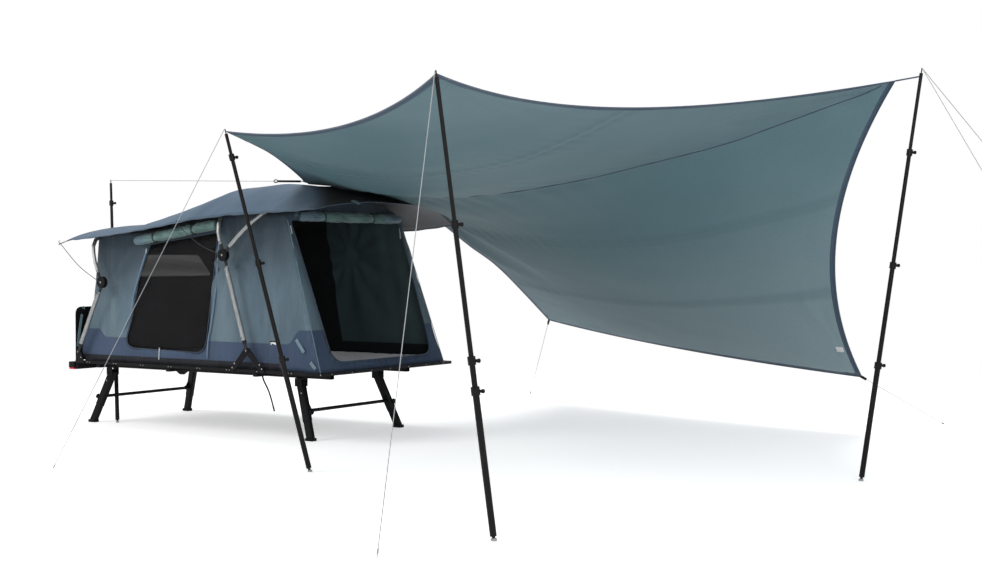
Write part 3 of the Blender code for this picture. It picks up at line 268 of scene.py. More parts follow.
def wallMat():
    cut = wallCloth
    shader = Shader("wall cloth", colours["wall"], 0.62, sheen=0.08)
    where = shader.coords()
    x, y, z = shader.axes(where)
    drift = shader.noise(shader.coords(scale=(1, 1, 0.45)), 3.2, 4.0)
    fine = shader.noise(where, 120.0, 2.0)
    left = 1.0 - (x - cut["leftPatch"]).abs().ramp(*cut["leftWide"])
    edge = x.ramp(*cut["doorFrom"]) * cut["bandAtDoor"] + left * cut["bandAtLeft"] + cut["band"]
    band = 1.0 - (z - edge).ramp(-0.002, 0.002)
    skirt = 1.0 - (z - cut["skirt"]).ramp(-0.004, 0.004)
    folds = shader.noise(shader.coords(scale=(1.0, 1.0, 0.22)), 7.5, 5.0, 0.62)
    slant = shader.noise(shader.coords(scale=(1.0, 1.0, 0.16), turn=(0, 0.40, 0)), 8.5, 4.0, 0.6)
    # Painted shadow of the fly on the upper walls, coming lower at the left end and weaker at the right
    high = (z + (1.0 - x.ramp(*cut["shadeLeft"])) * 0.14).ramp(*cut["shade"])
    high = high * (1.0 - x.ramp(*cut["shadeRight"]) * 0.45)
    tone = shader.mix(drift.ramp(0.3, 0.72), colours["wall"], colours["wallPale"])
    # Painted shade in the folds and the slanting creases
    tone = shader.mix((1.0 - folds.ramp(0.34, 0.60)) * 0.30, tone, colours["wallFoldShade"])
    tone = shader.mix((1.0 - slant.ramp(0.36, 0.54)) * 0.24, tone, colours["wallFoldShade"])
    tone = shader.mix(high * 0.85, tone, colours["wallFlyShadow"])
    tone = shader.mix(band, tone, shader.mix(drift.ramp(0.35, 0.7), colours["navy"], colours["navyPale"]))
    tone = shader.mix(skirt * (1.0 - x.ramp(*cut["skirtEnds"])), tone, colours["skirt"])
    tone = shader.mix((1.0 - (z - edge).abs().ramp(0.002, 0.005)) * 0.5, tone, colours["navyLine"])
    tone = shader.mix(fine.ramp(0.35, 0.8) * 0.12, tone, colours["wallGrain"])
    shader.feed("Base Color", tone)
    shader.feed("Roughness", drift * 0.18 + 0.53)
    crease = shader.noise(shader.coords(scale=(1.0, 1.0, 0.3)), 14.0, 5.0, 0.6)
    relief = folds * 1.6 + slant * 1.4 + crease * 0.7 + weave(shader, where, 0.0018) * 0.02 + fine * 0.04
    shader.bump(relief, 0.7, 0.013)
    return shader.mat


flyCloth = {"ridges": (-1.53, -2.87, -0.95), "ridgeWide": 0.05, "tarpShadow": (-1.22, -0.98), "tarpShadowSlant": 0.72}


def flyMat():
    shader = Shader("fly cloth", colours["slate"], 0.6, sheen=0.03, specular=0.12)
    where = shader.coords()
    x, y, z = shader.axes(where)
    drift = shader.noise(where, 2.2, 4.0)
    fine = shader.noise(where, 90.0, 2.0)
    tone = shader.mix(drift.ramp(0.30, 0.72), colours["slate"], colours["slatePale"])
    first, second, third = [(x - ridge).abs() for ridge in flyCloth["ridges"]]  # lighter band over each hoop
    over = 1.0 - first.least(second).least(third).ramp(0.0, flyCloth["ridgeWide"])
    tone = shader.mix(over * 0.25, tone, colours["slateRidge"])
    tarpShadow = (x - (y - shift.y).abs() * flyCloth["tarpShadowSlant"]).ramp(*flyCloth["tarpShadow"])
    tone = shader.mix(tarpShadow, tone, colours["flyTarpShadow"])  # painted shadow of the tarp, black over the fly above the door
    tone = shader.mix(fine.ramp(0.35, 0.8) * 0.14, tone, colours["slateGrain"])
    shader.feed("Base Color", tone)
    shader.feed("Roughness", drift * 0.18 + 0.52)
    crease = shader.noise(shader.coords(scale=(0.5, 1.0, 1.0)), 13.0, 5.0, 0.6)
    shader.bump(crease * 0.8 + weave(shader, where, 0.0016) * 0.02 + fine * 0.05, 0.4, 0.008)
    return shader.mat


innerCloth = {"shadowRight": -1.450, "shadowLean": 0.1228, "blackLow": 0.63}


def innerMat():
    shader = Shader("inner cloth", colours["inner"], 0.75, sheen=0.05)
    where = shader.coords()
    x, y, z = shader.axes(where)
    drift = shader.noise(where, 3.0, 4.0)
    tone = shader.mix(drift.ramp(0.30, 0.72), colours["inner"], colours["innerPale"])
    # Painted shadow: black inside, left of a slanted line. Black also below a set height.
    left = 1.0 - (x + z * innerCloth["shadowLean"] - innerCloth["shadowRight"]).ramp(-0.006, 0.006)
    low = 1.0 - (z - innerCloth["blackLow"]).ramp(-0.004, 0.004)
    shader.feed("Base Color", shader.mix(left.most(low), tone, colours["innerBlack"]))
    crease = shader.noise(shader.coords(scale=(1.0, 1.0, 0.3)), 12.0, 5.0, 0.6)
    shader.bump(crease * 0.8 + drift * 0.4, 0.5, 0.010)
    return shader.mat


rollCloth = {"doorEnds": (0.30, 0.42), "doorFrom": (-1.1, -0.95), "windowEnd": (-2.30, -2.16)}


def rollMat():
    shader = Shader("rolled cloth", colours["green"], 0.55, sheen=0.2)
    where = shader.coords()
    x, y, z = shader.axes(where)
    drift = shader.noise(where, 9.0, 4.0)
    lines = shader.noise(shader.coords(scale=(1.0, 1.0, 6.0)), 14.0, 4.0)
    tone = shader.mix(drift.ramp(0.30, 0.72), colours["green"], colours["greenPale"])
    atDoor = (y - shift.y).abs().ramp(*rollCloth["doorEnds"]) * x.ramp(*rollCloth["doorFrom"])
    facing = atDoor.most(1.0 - x.ramp(*rollCloth["windowEnd"]))  # turned-back facing at the ends
    tone = shader.mix(facing * 0.8, tone, colours["facing"])
    # Painted shade along the folds of the roll
    tone = shader.mix((1.0 - lines.ramp(0.36, 0.56)) * 0.55, tone, colours["greenFoldShade"])
    shader.feed("Base Color", tone)
    shader.feed("Roughness", drift * 0.18 + 0.46)
    shader.bump(lines * 0.9 + weave(shader, where, 0.0016) * 0.02, 0.6, 0.010)
    return shader.mat


tubeFinish = {"moulded": {"hub": 0.084, "base": 0.075}, "edge": 0.001, "metal": 0.8}


def tubeMat():  # brushed aluminium that turns to black moulding close to each pivot
    metal = tubeFinish["metal"]
    shader = Shader("frame tube", colours["tube"], 0.50, metal=metal, specular=0.3)
    x, y, z = shader.axes(shader.coords())
    near = None
    for place, reach in tubeFinish["moulded"].items():
        for arch in arches.values():
            px, pz = arch[place]
            away = ((x - (px + shift.x)) ** 2.0 + (z - pz) ** 2.0) ** 0.5
            mask = 1.0 - away.ramp(reach - tubeFinish["edge"], reach + tubeFinish["edge"])
            near = mask if near is None else near.most(mask)
    brush = shader.noise(shader.coords(scale=(1.0, 60.0, 4.0)), 5.0, 4.0)
    tone = shader.mix(brush.ramp(0.3, 0.7), colours["tubeDark"], colours["tubePale"])
    shader.feed("Base Color", shader.mix(near, tone, colours["black"]))
    shader.feed("Metallic", (1.0 - near) * metal)
    shader.feed("Roughness", brush * 0.12 + near * 0.04 + 0.46)
    shader.bump(brush, 0.08, 0.0006)
    return shader.mat


def paintMat(name, colour, rough, grain=400.0, wear=colours["worn"], metal=0.0):  # grain and marks
    shader = Shader(name, colour, rough, metal=metal, specular=0.5 if metal else 0.08)
    where = shader.coords()
    marks = shader.noise(where, 7.0, 6.0, 0.65)
    grit = shader.noise(where, grain, 2.0)
    shader.feed("Base Color", shader.mix(marks.ramp(0.52, 0.85) * 0.6, colour, wear))
    shader.feed("Roughness", marks * 0.22 + (rough - 0.11))
    shader.bump(grit, 0.12, 0.0006)
    return shader.mat


lensFinish = {"clearFrom": 0.453, "ribs": 420.0}


def lensMat():
    shader = Shader("lamp lens", colours["lens"], 0.18, coat=0.6)
    x, y, z = shader.axes(shader.coords())
    clear = 1.0 - (y - shift.y).abs().ramp(lensFinish["clearFrom"] - 0.001, lensFinish["clearFrom"] + 0.001)
    ribsY, ribsZ = [(axis * lensFinish["ribs"]).sin() * 0.5 + 0.5 for axis in (y, z)]
    ribs = ribsY * ribsZ
    tone = shader.mix(clear, colours["lens"], colours["lensClear"])
    shader.feed("Base Color", shader.mix(ribs * 0.35, tone, colours["lensRib"]))
    shader.bump(ribs, 0.5, 0.0012)
    return shader.mat


def netMat(name, colour, cover, step=0.0042):  # a fine grid of threads with holes between them
    shader = Shader(name, colour, 0.7)
    x, y, z = shader.axes(shader.coords())
    upright, level = [(axis * (math.pi / step)).sin().abs() for axis in (x, z)]
    threads = upright.most(level)
    drift = shader.noise(shader.coords(), 4.0)
    shader.feed("Base Color", shader.mix(drift.ramp(0.3, 0.8), colour, tuple(c * 1.7 for c in colour)))
    shader.feed("Alpha", threads.ramp(0.55, 0.8) * 0.2 + cover)
    shader.bump(threads, 0.3, 0.0006)
    return shader.mat


def ropeMat(name, colour, dark, twists=1400.0):
    shader = Shader(name, colour, 0.55)
    x, y, z = shader.axes(shader.coords())
    twist = ((x + y + z) * twists).sin() * 0.5 + 0.5
    shader.feed("Base Color", shader.mix(twist * 0.5, colour, dark))
    shader.bump(twist, 0.4, 0.0006)
    return shader.mat


mats = {"tarp": tarpMat(), "wall": wallMat(), "fly": flyMat(), "inner": innerMat(), "roll": rollMat(),
        "hem": clothMat("hem tape", colours["hem"], colours["hemPale"], 0.6, patch=6.0),
        "strap": clothMat("pale webbing", (0.110, 0.180, 0.215), (0.150, 0.230, 0.265), 0.6, patch=20.0),
        "zipCord": clothMat("zip flap tape", (0.085, 0.150, 0.230), (0.120, 0.190, 0.270), 0.6, patch=20.0),
        "mattress": clothMat("mattress cloth", (0.56, 0.51, 0.54), (0.66, 0.61, 0.63), 0.8, 0.3, patch=7.0),
        "label": clothMat("bare label", (0.80, 0.80, 0.79), (0.70, 0.70, 0.70), 0.5, 0.0, patch=30.0),
        "screen": netMat("window net", (0.005, 0.005, 0.006), 0.38),
        "paleScreen": netMat("end window net", (0.012, 0.012, 0.013), 0.44),
        "metal": paintMat("black powder coat", colours["black"], 0.42),
        "pole": paintMat("pole coat", (0.010, 0.009, 0.009), 0.36, wear=(0.026, 0.020, 0.018)),
        "plastic": paintMat("black moulding", (0.007, 0.007, 0.008), 0.5, grain=900.0),
        "steel": paintMat("bright steel", (0.30, 0.30, 0.31), 0.34, wear=(0.20, 0.20, 0.21), metal=1.0),
        "underFly": clothMat("fly underside cloth", (0.150, 0.152, 0.158), (0.200, 0.200, 0.206), 0.6, 0.05),
        "tube": tubeMat(), "lens": lensMat(),
        "panel": paintMat("end panel", colours["black"], 0.5, grain=1200.0),
        "line": ropeMat("guy line", (0.36, 0.37, 0.37), (0.22, 0.23, 0.24)),
        "elastic": ropeMat("elastic cord", (0.014, 0.014, 0.015), (0.05, 0.05, 0.055)),
        "toggle": ropeMat("zip pull", (0.66, 0.68, 0.67), (0.42, 0.44, 0.44))}
print("finishes made")

nodeFinish = {"lower_tube": "tube", "hoop_": "tube", "hub_": "plastic", "lamp_": "plastic",
              "leg_knob": "plastic", "leg_slide": "plastic", "pole_": "pole", "lens_": "lens",
              "end_panel": "panel"}
for name, node in nodes.items():
    kinds = [kind for start, kind in nodeFinish.items() if name.startswith(start)]
    node.data.materials.clear()
    node.data.materials.append(mats[kinds[0] if kinds else "metal"])


# Helpers for meshes

def finish(name, mesh, mat, inner=None, body="base"):
    item = bpy.data.objects.new(name, mesh)
    bpy.context.scene.collection.objects.link(item)
    mesh.materials.clear()
    mesh.materials.append(mats[mat])
    if inner:
        mesh.materials.append(mats[inner])
    mesh.shade_smooth()
    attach(item, body)
    return item


def meshed(name, bm):
    mesh = bpy.data.meshes.new(name)
    bm.to_mesh(mesh)
    bm.free()
    return mesh


def evaluated(item, layers=True):
    bpy.context.view_layer.update()
    deps = bpy.context.evaluated_depsgraph_get()
    return bpy.data.meshes.new_from_object(item.evaluated_get(deps), preserve_all_data_layers=layers,
                                           depsgraph=deps)


def baked(item):  # the item with its modifiers turned into plain mesh
    mesh = evaluated(item)
    old = item.data
    item.modifiers.clear()
    item.data = mesh
    if not old.users:
        bpy.data.meshes.remove(old)
    return mesh


def thicken(item, thick, offset, lined=False):  # offset is -1 inwards, 1 outwards and 0 both ways
    wall = item.modifiers.new("thickness", "SOLIDIFY")
    wall.thickness = thick
    wall.offset = offset
    wall.material_offset = 1 if lined else 0
    baked(item).shade_smooth()


def tube(name, paths, radius, mat, loop=False, resolution=2):
    curve = bpy.data.curves.new("path", "CURVE")
    curve.dimensions = "3D"
    curve.bevel_depth = radius
    curve.bevel_resolution = resolution
    curve.use_fill_caps = True
    for path in paths:
        spline = curve.splines.new("POLY")
        spline.points.add(len(path) - 1)
        for point, spot in zip(spline.points, path):
            point.co = (*spot, 1)
        spline.use_cyclic_u = loop
    item = bpy.data.objects.new("path", curve)
    bpy.context.scene.collection.objects.link(item)
    mesh = evaluated(item, layers=False)
    bpy.data.objects.remove(item)
    return finish(name, mesh, mat)


def quads(bm, grid, flip=False):
    for low, high in zip(grid, grid[1:]):
        for j in range(len(low) - 1):
            a, b, c, d = low[j], low[j + 1], high[j + 1], high[j]
            bm.faces.new((a, d, c, b) if flip else (a, b, c, d))


def around(grid):  # the border of a grid as one loop, along its first row first
    return grid[0] + [row[-1] for row in grid[1:]] + grid[-1][-2::-1] + [row[0] for row in grid[-2:0:-1]]


def webbing(name, path, wide, thick, face, mat):  # a flat strap along a path, its broad side turned to face
    bm = bmesh.new()
    rings = []
    corners = ((-1, -1), (-0.8, -1.25), (0.8, -1.25), (1, -1), (1, 1), (0.8, 1.25), (-0.8, 1.25), (-1, 1))
    for i, spot in enumerate(path):
        way = (path[min(i + 1, len(path) - 1)] - path[max(i - 1, 0)]).normalized()
        side = way.cross(Vector(face)).normalized() * wide / 2
        up = side.cross(way).normalized() * thick / 2
        rings.append([bm.verts.new(spot + a * side + b * up) for a, b in corners])
    quads(bm, [ring + ring[:1] for ring in rings])
    bm.faces.new(rings[0])
    bm.faces.new(rings[-1])
    bmesh.ops.recalc_face_normals(bm, faces=bm.faces)
    return finish(name, meshed(name, bm), mat)


def smoothPath(points, count):  # through all the points, then in even steps
    spots = [Vector(p) for p in points]
    dense = []
    for i in range(len(spots) - 1):
        before, after = spots[max(i - 1, 0)], spots[min(i + 2, len(spots) - 1)]
        for k in range(16):
            t = k / 16
            dense.append(0.5 * ((2 * spots[i]) + (spots[i + 1] - before) * t
                                + (2 * before - 5 * spots[i] + 4 * spots[i + 1] - after) * t ** 2
                                + (3 * spots[i] - before - 3 * spots[i + 1] + after) * t ** 3))
    dense.append(spots[-1])
    run = [0.0]
    for a, b in zip(dense, dense[1:]):
        run.append(run[-1] + (b - a).length)
    found = []
    k = 0
    for i in range(count):
        goal = run[-1] * i / (count - 1)
        while k < len(run) - 2 and run[k + 1] < goal:
            k += 1
        t = (goal - run[k]) / max(run[k + 1] - run[k], 1e-9)
        found.append(dense[k].lerp(dense[k + 1], min(max(t, 0), 1)))
    return found


def straight(a, b, count):
    return [Vector(a).lerp(Vector(b), k / (count - 1)) for k in range(count)]


def wobble(p, scale, seed=0.0):
    return noise.noise(Vector((p[0] * scale[0] + seed, p[1] * scale[1], p[2] * scale[2] - seed)))


# Geometry Nodes: studs on points, and stitches along paths

class Tree:
    def __init__(self, name, inputs):
        self.group = bpy.data.node_groups.new(name, "GeometryNodeTree")
        face = self.group.interface
        face.new_socket("Result", in_out="OUTPUT", socket_type="NodeSocketGeometry")
        self.ids = {}
        for label, kind in {**inputs, "Finish": "Material"}.items():
            socket = face.new_socket(label, in_out="INPUT", socket_type="NodeSocket" + kind)
            self.ids[label] = socket.identifier
        self.given = self.group.nodes.new("NodeGroupInput").outputs

    def add(self, kind, settings=None, inputs=None, out=0):
        return addNode(self.group, kind, settings, inputs).outputs[out]

    def facing(self, way):
        return self.add("FunctionNodeAlignRotationToVector", {"axis": "Z"}, {"Vector": way})

    def close(self, points, piece, turn):
        many = self.add("GeometryNodeInstanceOnPoints", None,
                        {"Points": points, "Instance": piece, "Rotation": turn})
        whole = self.add("GeometryNodeRealizeInstances", None, {0: many})
        done = self.add("GeometryNodeSetMaterial", None,
                        {"Geometry": whole, "Material": self.given["Finish"]})
        addNode(self.group, "NodeGroupOutput", None, {0: done})
        return self


def studTree():  # round domed heads, each turned to its point's own direction
    tree = Tree("stud heads", {"Points": "Geometry", "Radius": "Float", "Height": "Float"})
    radius, height = tree.given["Radius"], tree.given["Height"]
    rise = tree.add("ShaderNodeMath", {"operation": "MULTIPLY"}, {0: height, 1: 0.5})
    dome = tree.add("ShaderNodeMath", {"operation": "MULTIPLY"}, {0: radius, 1: 0.72})
    drum = tree.add("GeometryNodeMeshCylinder", None, {"Vertices": 12, "Radius": radius, "Depth": height})
    ball = tree.add("GeometryNodeMeshUVSphere", None, {"Segments": 12, "Rings": 6, "Radius": dome})
    top = tree.add("ShaderNodeCombineXYZ", None, {"Z": rise})
    cap = tree.add("GeometryNodeTransform", None,
                   {"Geometry": ball, "Translation": top, "Scale": (1, 1, 0.5)})
    head = addNode(tree.group, "GeometryNodeJoinGeometry", None, {0: drum})
    tree.group.links.new(cap, head.inputs[0])
    points = tree.add("GeometryNodeMeshToPoints", None, {0: tree.given["Points"]})
    way = tree.add("GeometryNodeInputNamedAttribute", {"data_type": "FLOAT_VECTOR"}, {"Name": "out"})
    return tree.close(points, head.outputs[0], tree.facing(way))


def stitchTree():  # short threads along a path, one after the other
    tree = Tree("stitch rows", {"Path": "Geometry", "Spacing": "Float", "Radius": "Float", "Long": "Float"})
    curve = tree.add("GeometryNodeMeshToCurve", None, {0: tree.given["Path"]})
    row = addNode(tree.group, "GeometryNodeCurveToPoints", {"mode": "LENGTH"},
                  {"Curve": curve, "Length": tree.given["Spacing"]}).outputs
    thread = tree.add("GeometryNodeMeshCylinder", None,
                      {"Vertices": 5, "Radius": tree.given["Radius"], "Depth": tree.given["Long"]})
    return tree.close(row["Points"], thread, tree.facing(row["Tangent"]))


trees = {"stud": studTree(), "stitch": stitchTree()}


def grow(name, kind, mesh, values, mat, body="base"):
    item = bpy.data.objects.new(name, mesh)
    bpy.context.scene.collection.objects.link(item)
    tree = trees[kind]
    grown = item.modifiers.new("grown", "NODES")
    grown.node_group = tree.group
    for label, value in {**values, "Finish": mats[mat]}.items():
        grown[tree.ids[label]] = value
    made = baked(item)
    made.materials.clear()
    made.materials.append(mats[mat])
    if kind == "stud":
        made.shade_smooth()
        made.set_sharp_from_angle(angle=0.6)
    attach(item, body)
    return item


def pointMesh(spots):
    mesh = bpy.data.meshes.new("points")
    mesh.from_pydata([tuple(p) for p, _ in spots], [], [])
    out = mesh.attributes.new("out", "FLOAT_VECTOR", "POINT")
    for k, (_, way) in enumerate(spots):
        out.data[k].vector = way
    return mesh


def pathMesh(paths, loop=False):
    verts = []
    edges = []
    for path in paths:
        start = len(verts)
        verts += [tuple(p) for p in path]
        edges += [(start + k, start + k + 1) for k in range(len(path) - 1)]
        if loop:
            edges.append((start + len(path) - 1, start))
    mesh = bpy.data.meshes.new("paths")
    mesh.from_pydata(verts, edges, [])
    return mesh


# Lines: guy lines from the poles and the tarp to the ground, and two that run out of sight

poles = {"feet": ((-0.925, -0.440), (2.109, -1.690), (4.250, -2.917), (5.014, -0.205)),
         "tips": ((-1.470, 0.000, 1.937), (1.677, -1.960, 2.071), (4.120, -3.190, 2.130),
                  (5.327, -0.111, 2.379)),
         "tubes": (0.0160, 0.0136, 0.0118, 0.0100),
         "collars": ((0.33, 0.62, 0.90), (0.32, 0.61, 0.918), (0.316, 0.39, 0.679), (0.275, 0.526, 0.798)),
         "collarLong": 0.038, "collarWall": 0.0055, "spike": 0.0035, "spikeLong": 0.030}
tarp = {"nearLeft": (1.6850, -1.9560, 2.0560), "nearRight": (4.1187, -3.1844, 2.1150),
        "ridgeLeft": (0.600, 0.000, 1.868), "ridgeRight": (5.133, 0.000, 2.328),
        "lowRight": (4.232, 2.000, 0.423), "lowBack": (1.009, 2.900, 0.734),
        "overFly": ((0.80, 0.20, 1.841), (1.02, 0.52, 1.748), (1.21, 0.80, 1.618), (1.34, 1.15, 1.388),
                    (1.35, 1.60, 1.190)),
        "leftEdge": ((1.312, -1.20, 2.004), (1.125, -0.80, 1.946), (0.905, -0.40, 1.890),
                     (0.700, -0.10, 1.868)),
        "bows": {"near": (0.05, 0.11, -0.10), "right": (-0.43, 0.13, -0.12), "ridge": (0.0, -0.27, -0.345),
                 "farRight": (-0.24, -0.11, 0.0), "far": (-0.03, -0.12, -0.02)},
        "belly": ((0, 0, -0.03), (0, 0.10, 0)), "thick": 0.0012, "across": 121, "roofRows": 41,
        "wallRows": 51, "cell": 0.055, "above": 0.010, "slope": 0.55, "binding": 0.0036, "labelLong": 0.055}
lines = {"radius": 0.0020, "slack": 0.0008,
         "gaps": {"ridge": 0.0006, "back": 0.0016, "wall": 0.0010, "strap": 0.0013},
         "ends": ((0.774, -2.523), (4.055, -3.537), (0.534, 3.338), (4.551, 2.970)),
         "leaving": ((5.519, 0.600, 1.940), (5.899, -0.800, 1.673)), "strap": 0.0048, "strapOff": 0.0009}
knot = {"before": 0.03, "radius": 0.0042, "thick": 0.0016, "rise": 0.0012, "start": 0.012, "step": 0.42,
        "steps": 48, "ground": 0.0022}
pull = {"radius": 0.0058, "route": ((0.600, -0.445, 0.4334), (0.614, -0.445, 0.400), (0.667, -0.445, 0.312),
                                    (0.715, -0.445, 0.183))}


def poleLine(index):
    foot = Vector((*poles["feet"][index], 0.0))
    tip = Vector(poles["tips"][index])
    return foot, (tip - foot).normalized(), (tip - foot).length


def beside(index, end):  # where a line to end touches the spike of a pole
    foot, up, long = poleLine(index)
    tip = foot + up * (long - 0.004)
    way = (Vector(end) - tip).normalized()
    out = Vector((way.x, way.y, 0)).normalized()
    return tip + out * (poles["spike"] + lines["radius"] * abs(way.z) + lines["slack"])


def past(corner, end, name):
    corner = Vector(corner)
    return corner + (Vector(end) - corner).normalized() * lines["gaps"][name]


def makeKnot(name, a, b):  # a bowline's lump just short of the end
    way = (b - a).normalized()
    side = way.cross(Vector((0, 0, 1))).normalized()
    up = way.cross(side)
    centre = b - way * knot["before"] + shift
    turns = []
    for k in range(knot["steps"]):
        t = k * knot["step"]
        spot = centre + side * (knot["radius"] * math.cos(t)) + up * (knot["radius"] * math.sin(t))
        spot += way * (knot["rise"] * t - knot["start"])
        turns.append(Vector((spot.x, spot.y, max(spot.z, knot["ground"]))))
    return tube("knot_" + name, [turns], knot["thick"], "line", resolution=1)


def makeGuyLines():
    r = lines["radius"]
    ends = [Vector((x, y, r + 0.001)) for x, y in lines["ends"]]
    corner = past(tarp["ridgeLeft"], poles["tips"][0], "ridge")
    outFar, outNear = [Vector(spot) for spot in lines["leaving"]]
    runs = {"guy_ridge": (beside(0, corner), corner, "object"),
            "guy_pole_1": (beside(1, ends[0]), ends[0], "knot"),
            "guy_pole_2": (beside(2, ends[1]), ends[1], "knot"),
            "guy_back": (past(tarp["lowBack"], ends[2], "back"), ends[2], "knot"),
            "guy_wall": (past(tarp["lowRight"], ends[3], "wall"), ends[3], "knot"),
            "guy_out_far": (beside(3, outFar), outFar, "knot"),
            "guy_out_near": (beside(3, outNear), outNear, "knot")}
    for name, (a, b, far) in runs.items():
        path = moved(straight(a, b, 15))
        item = tube("line_" + name, [path], r, "line")
        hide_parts(name)
        knots = [makeKnot(name, a, b)] if far == "knot" else []


def makeTarpStrap():
    foot, up, long = poleLine(3)
    held = foot + up * (long - poles["spikeLong"] * 1.6)
    toward = (Vector(tarp["ridgeRight"]) - held).normalized()
    a = held + toward * (poles["tubes"][3] + lines["strapOff"])
    b = past(tarp["ridgeRight"], held, "strap")
    path = moved(straight(a, b, 12))
    item = tube("strap_tarp", [path], lines["strap"], "hem")
    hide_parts("tarp_strap")


def makePullStrap():
    path = moved(smoothPath(pull["route"], 24))
    item = tube("strap_pull", [path], pull["radius"], "elastic")
    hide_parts("pull_strap")


makeGuyLines()
makeTarpStrap()
makePullStrap()
print("lines strung")


# Forms of the tent: the fly over the hoops, and the roof close under it

tent = {"left": -0.885, "right": 1.385, "topRight": 1.02, "half": 0.725, "topHalf": 0.655, "low": 0.5043,
        "thick": 0.0024, "step": 0.034, "deck": 0.51}
fly = {"keep": 0.42, "left": -1.25, "right": 1.42, "half": 0.80, "round": 2.6, "thick": 0.0022, "sag": 0.010,
       "slack": 0.062, "corner": 0.085, "cornerLong": 0.40, "rows": (111, 61), "binding": 0.0030,
       # x, height of the crest, drop to the hem, and more drop on the far side
       "profile": ((-1.25, 1.475, 0.075, 0.0), (-1.07, 1.545, 0.11, 0.0), (-0.94, 1.555, 0.12, 0.0),
                   (0.26, 1.822, 0.25, 0.02), (0.60, 1.846, 0.248, 0.08), (0.98, 1.814, 0.204, 0.11),
                   (1.42, 1.690, 0.062, 0.085))}


def flyHeight(x, y, sag=0.0):
    rows = fly["profile"]
    out = abs(y) / fly["half"]
    x = min(max(x, rows[0][0]), rows[-1][0])
    for (x0, c0, d0, f0), (x1, c1, d1, f1) in zip(rows, rows[1:]):
        if x <= x1:
            t = (x - x0) / (x1 - x0)
            crest = c0 + (c1 - c0) * t - sag * (x1 - x0) * 4 * t * (1 - t)
            if x0 < 0 < x1:  # hangs slack next to the left hoop
                crest -= fly["slack"] * min(t / 0.30, 1.0) * min((1 - t) / 0.70, 1.0) * (1 - out ** 3)
            crest -= (d0 + (d1 - d0) * t) * out ** fly["round"]
            return crest - (f0 + (f1 - f0) * t) * (max(0.0, y) / fly["half"]) ** 5


def roofHeight(x, y):
    left = min(max((-0.25 - x) / 0.35, 0.0), 1.0)  # close under the fly at the left end
    return flyHeight(x, -abs(y)) - 0.060 + 0.036 * left - 0.035 * (1 - left) * (y / tent["topHalf"]) ** 2


def squashed(item):  # the item gets a mesh of its own
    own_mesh(item)
    return item


# Tarp: a roof half up to the ridge and a wall half from the ridge to the back edge

def bowed(a, b, bow, count):
    return [p + Vector(bow) * (4 * (k / (count - 1)) * (1 - k / (count - 1)))
            for k, p in enumerate(straight(a, b, count))]


def panelRows(first, last, start, stop, belly):  # a sheet between four edges
    rows = []
    for i in range(len(start)):
        s = i / (len(start) - 1)
        row = []
        for j in range(len(first)):
            t = j / (len(first) - 1)
            flat = first[0].lerp(first[-1], t).lerp(last[0].lerp(last[-1], t), s)
            spot = first[j].lerp(last[j], s) + start[i].lerp(stop[i], t) - flat
            row.append(spot + Vector(belly) * (16 * s * (1 - s) * t * (1 - t)))
        rows.append(row)
    return rows


def tarpForm():  # its rows of points, and the points of its border and ridge
    across, roofRows, wallRows = tarp["across"], tarp["roofRows"], tarp["wallRows"]
    bows = tarp["bows"]
    near = bowed(tarp["nearLeft"], tarp["nearRight"], bows["near"], across)
    ridge = bowed(tarp["ridgeLeft"], tarp["ridgeRight"], bows["ridge"], across)
    far = bowed(tarp["lowBack"], tarp["lowRight"], bows["far"], across)
    left = smoothPath((tarp["nearLeft"], *tarp["leftEdge"], tarp["ridgeLeft"]), roofRows)
    right = bowed(tarp["nearRight"], tarp["ridgeRight"], bows["right"], roofRows)
    over = smoothPath((tarp["ridgeLeft"], *tarp["overFly"], tarp["lowBack"]), wallRows)
    farRight = bowed(tarp["ridgeRight"], tarp["lowRight"], bows["farRight"], wallRows)
    rows = panelRows(near, ridge, left, right, tarp["belly"][0])
    rows += panelRows(ridge, far, over, farRight, tarp["belly"][1])[1:]
    return [moved(row) for row in rows], moved(near + far + left + right + over + farRight)


def cornerFold(p, i, j, total):  # tension folds that run out of each corner
    starts = {"nearLeft": 0, "nearRight": 0, "ridgeRight": tarp["roofRows"], "lowRight": total,
              "lowBack": total}
    amount = 0.0
    for c, (corner, row) in enumerate(starts.items()):
        away = (p - at(*tarp[corner])).length
        column = j if corner in ("nearLeft", "lowBack") else tarp["across"] - 1 - j
        turn = math.atan2(i - row, column * 1.1 + 0.001)
        amount += 0.010 * math.exp(-away / 0.55) * math.sin(turn * 17 + c) * min(1.0, away / 0.08)
    return amount


def seamFold(i, j, seams):  # pleats beside the ridge, and puckers along the seams
    cell = tarp["cell"]
    away = abs(i - (tarp["roofRows"] - 1)) * cell
    pleat = math.sin(j * 0.95 + 2.0 * noise.noise(Vector((j * 0.09, 1.7, 0)))) * 0.0060
    amount = pleat * math.exp(-away / 0.22) * min(1.0, away / 0.06)
    for s in seams:
        amount += math.sin(j * 1.6 + s) * 0.0028 * math.exp(-abs(i - s) * cell / 0.08)
        amount -= 0.004 * math.exp(-(abs(i - s) * cell / 0.05) ** 2)
    return amount


def overFly(p):  # it lies on the fly and slopes away from the fly's edges
    x = min(max(p.x, fly["left"]), fly["right"])
    y = min(max(p.y, -fly["half"]), fly["half"])
    return max(p.z, flyHeight(x, y) + tarp["above"] - tarp["slope"] * math.hypot(p.x - x, p.y - y))


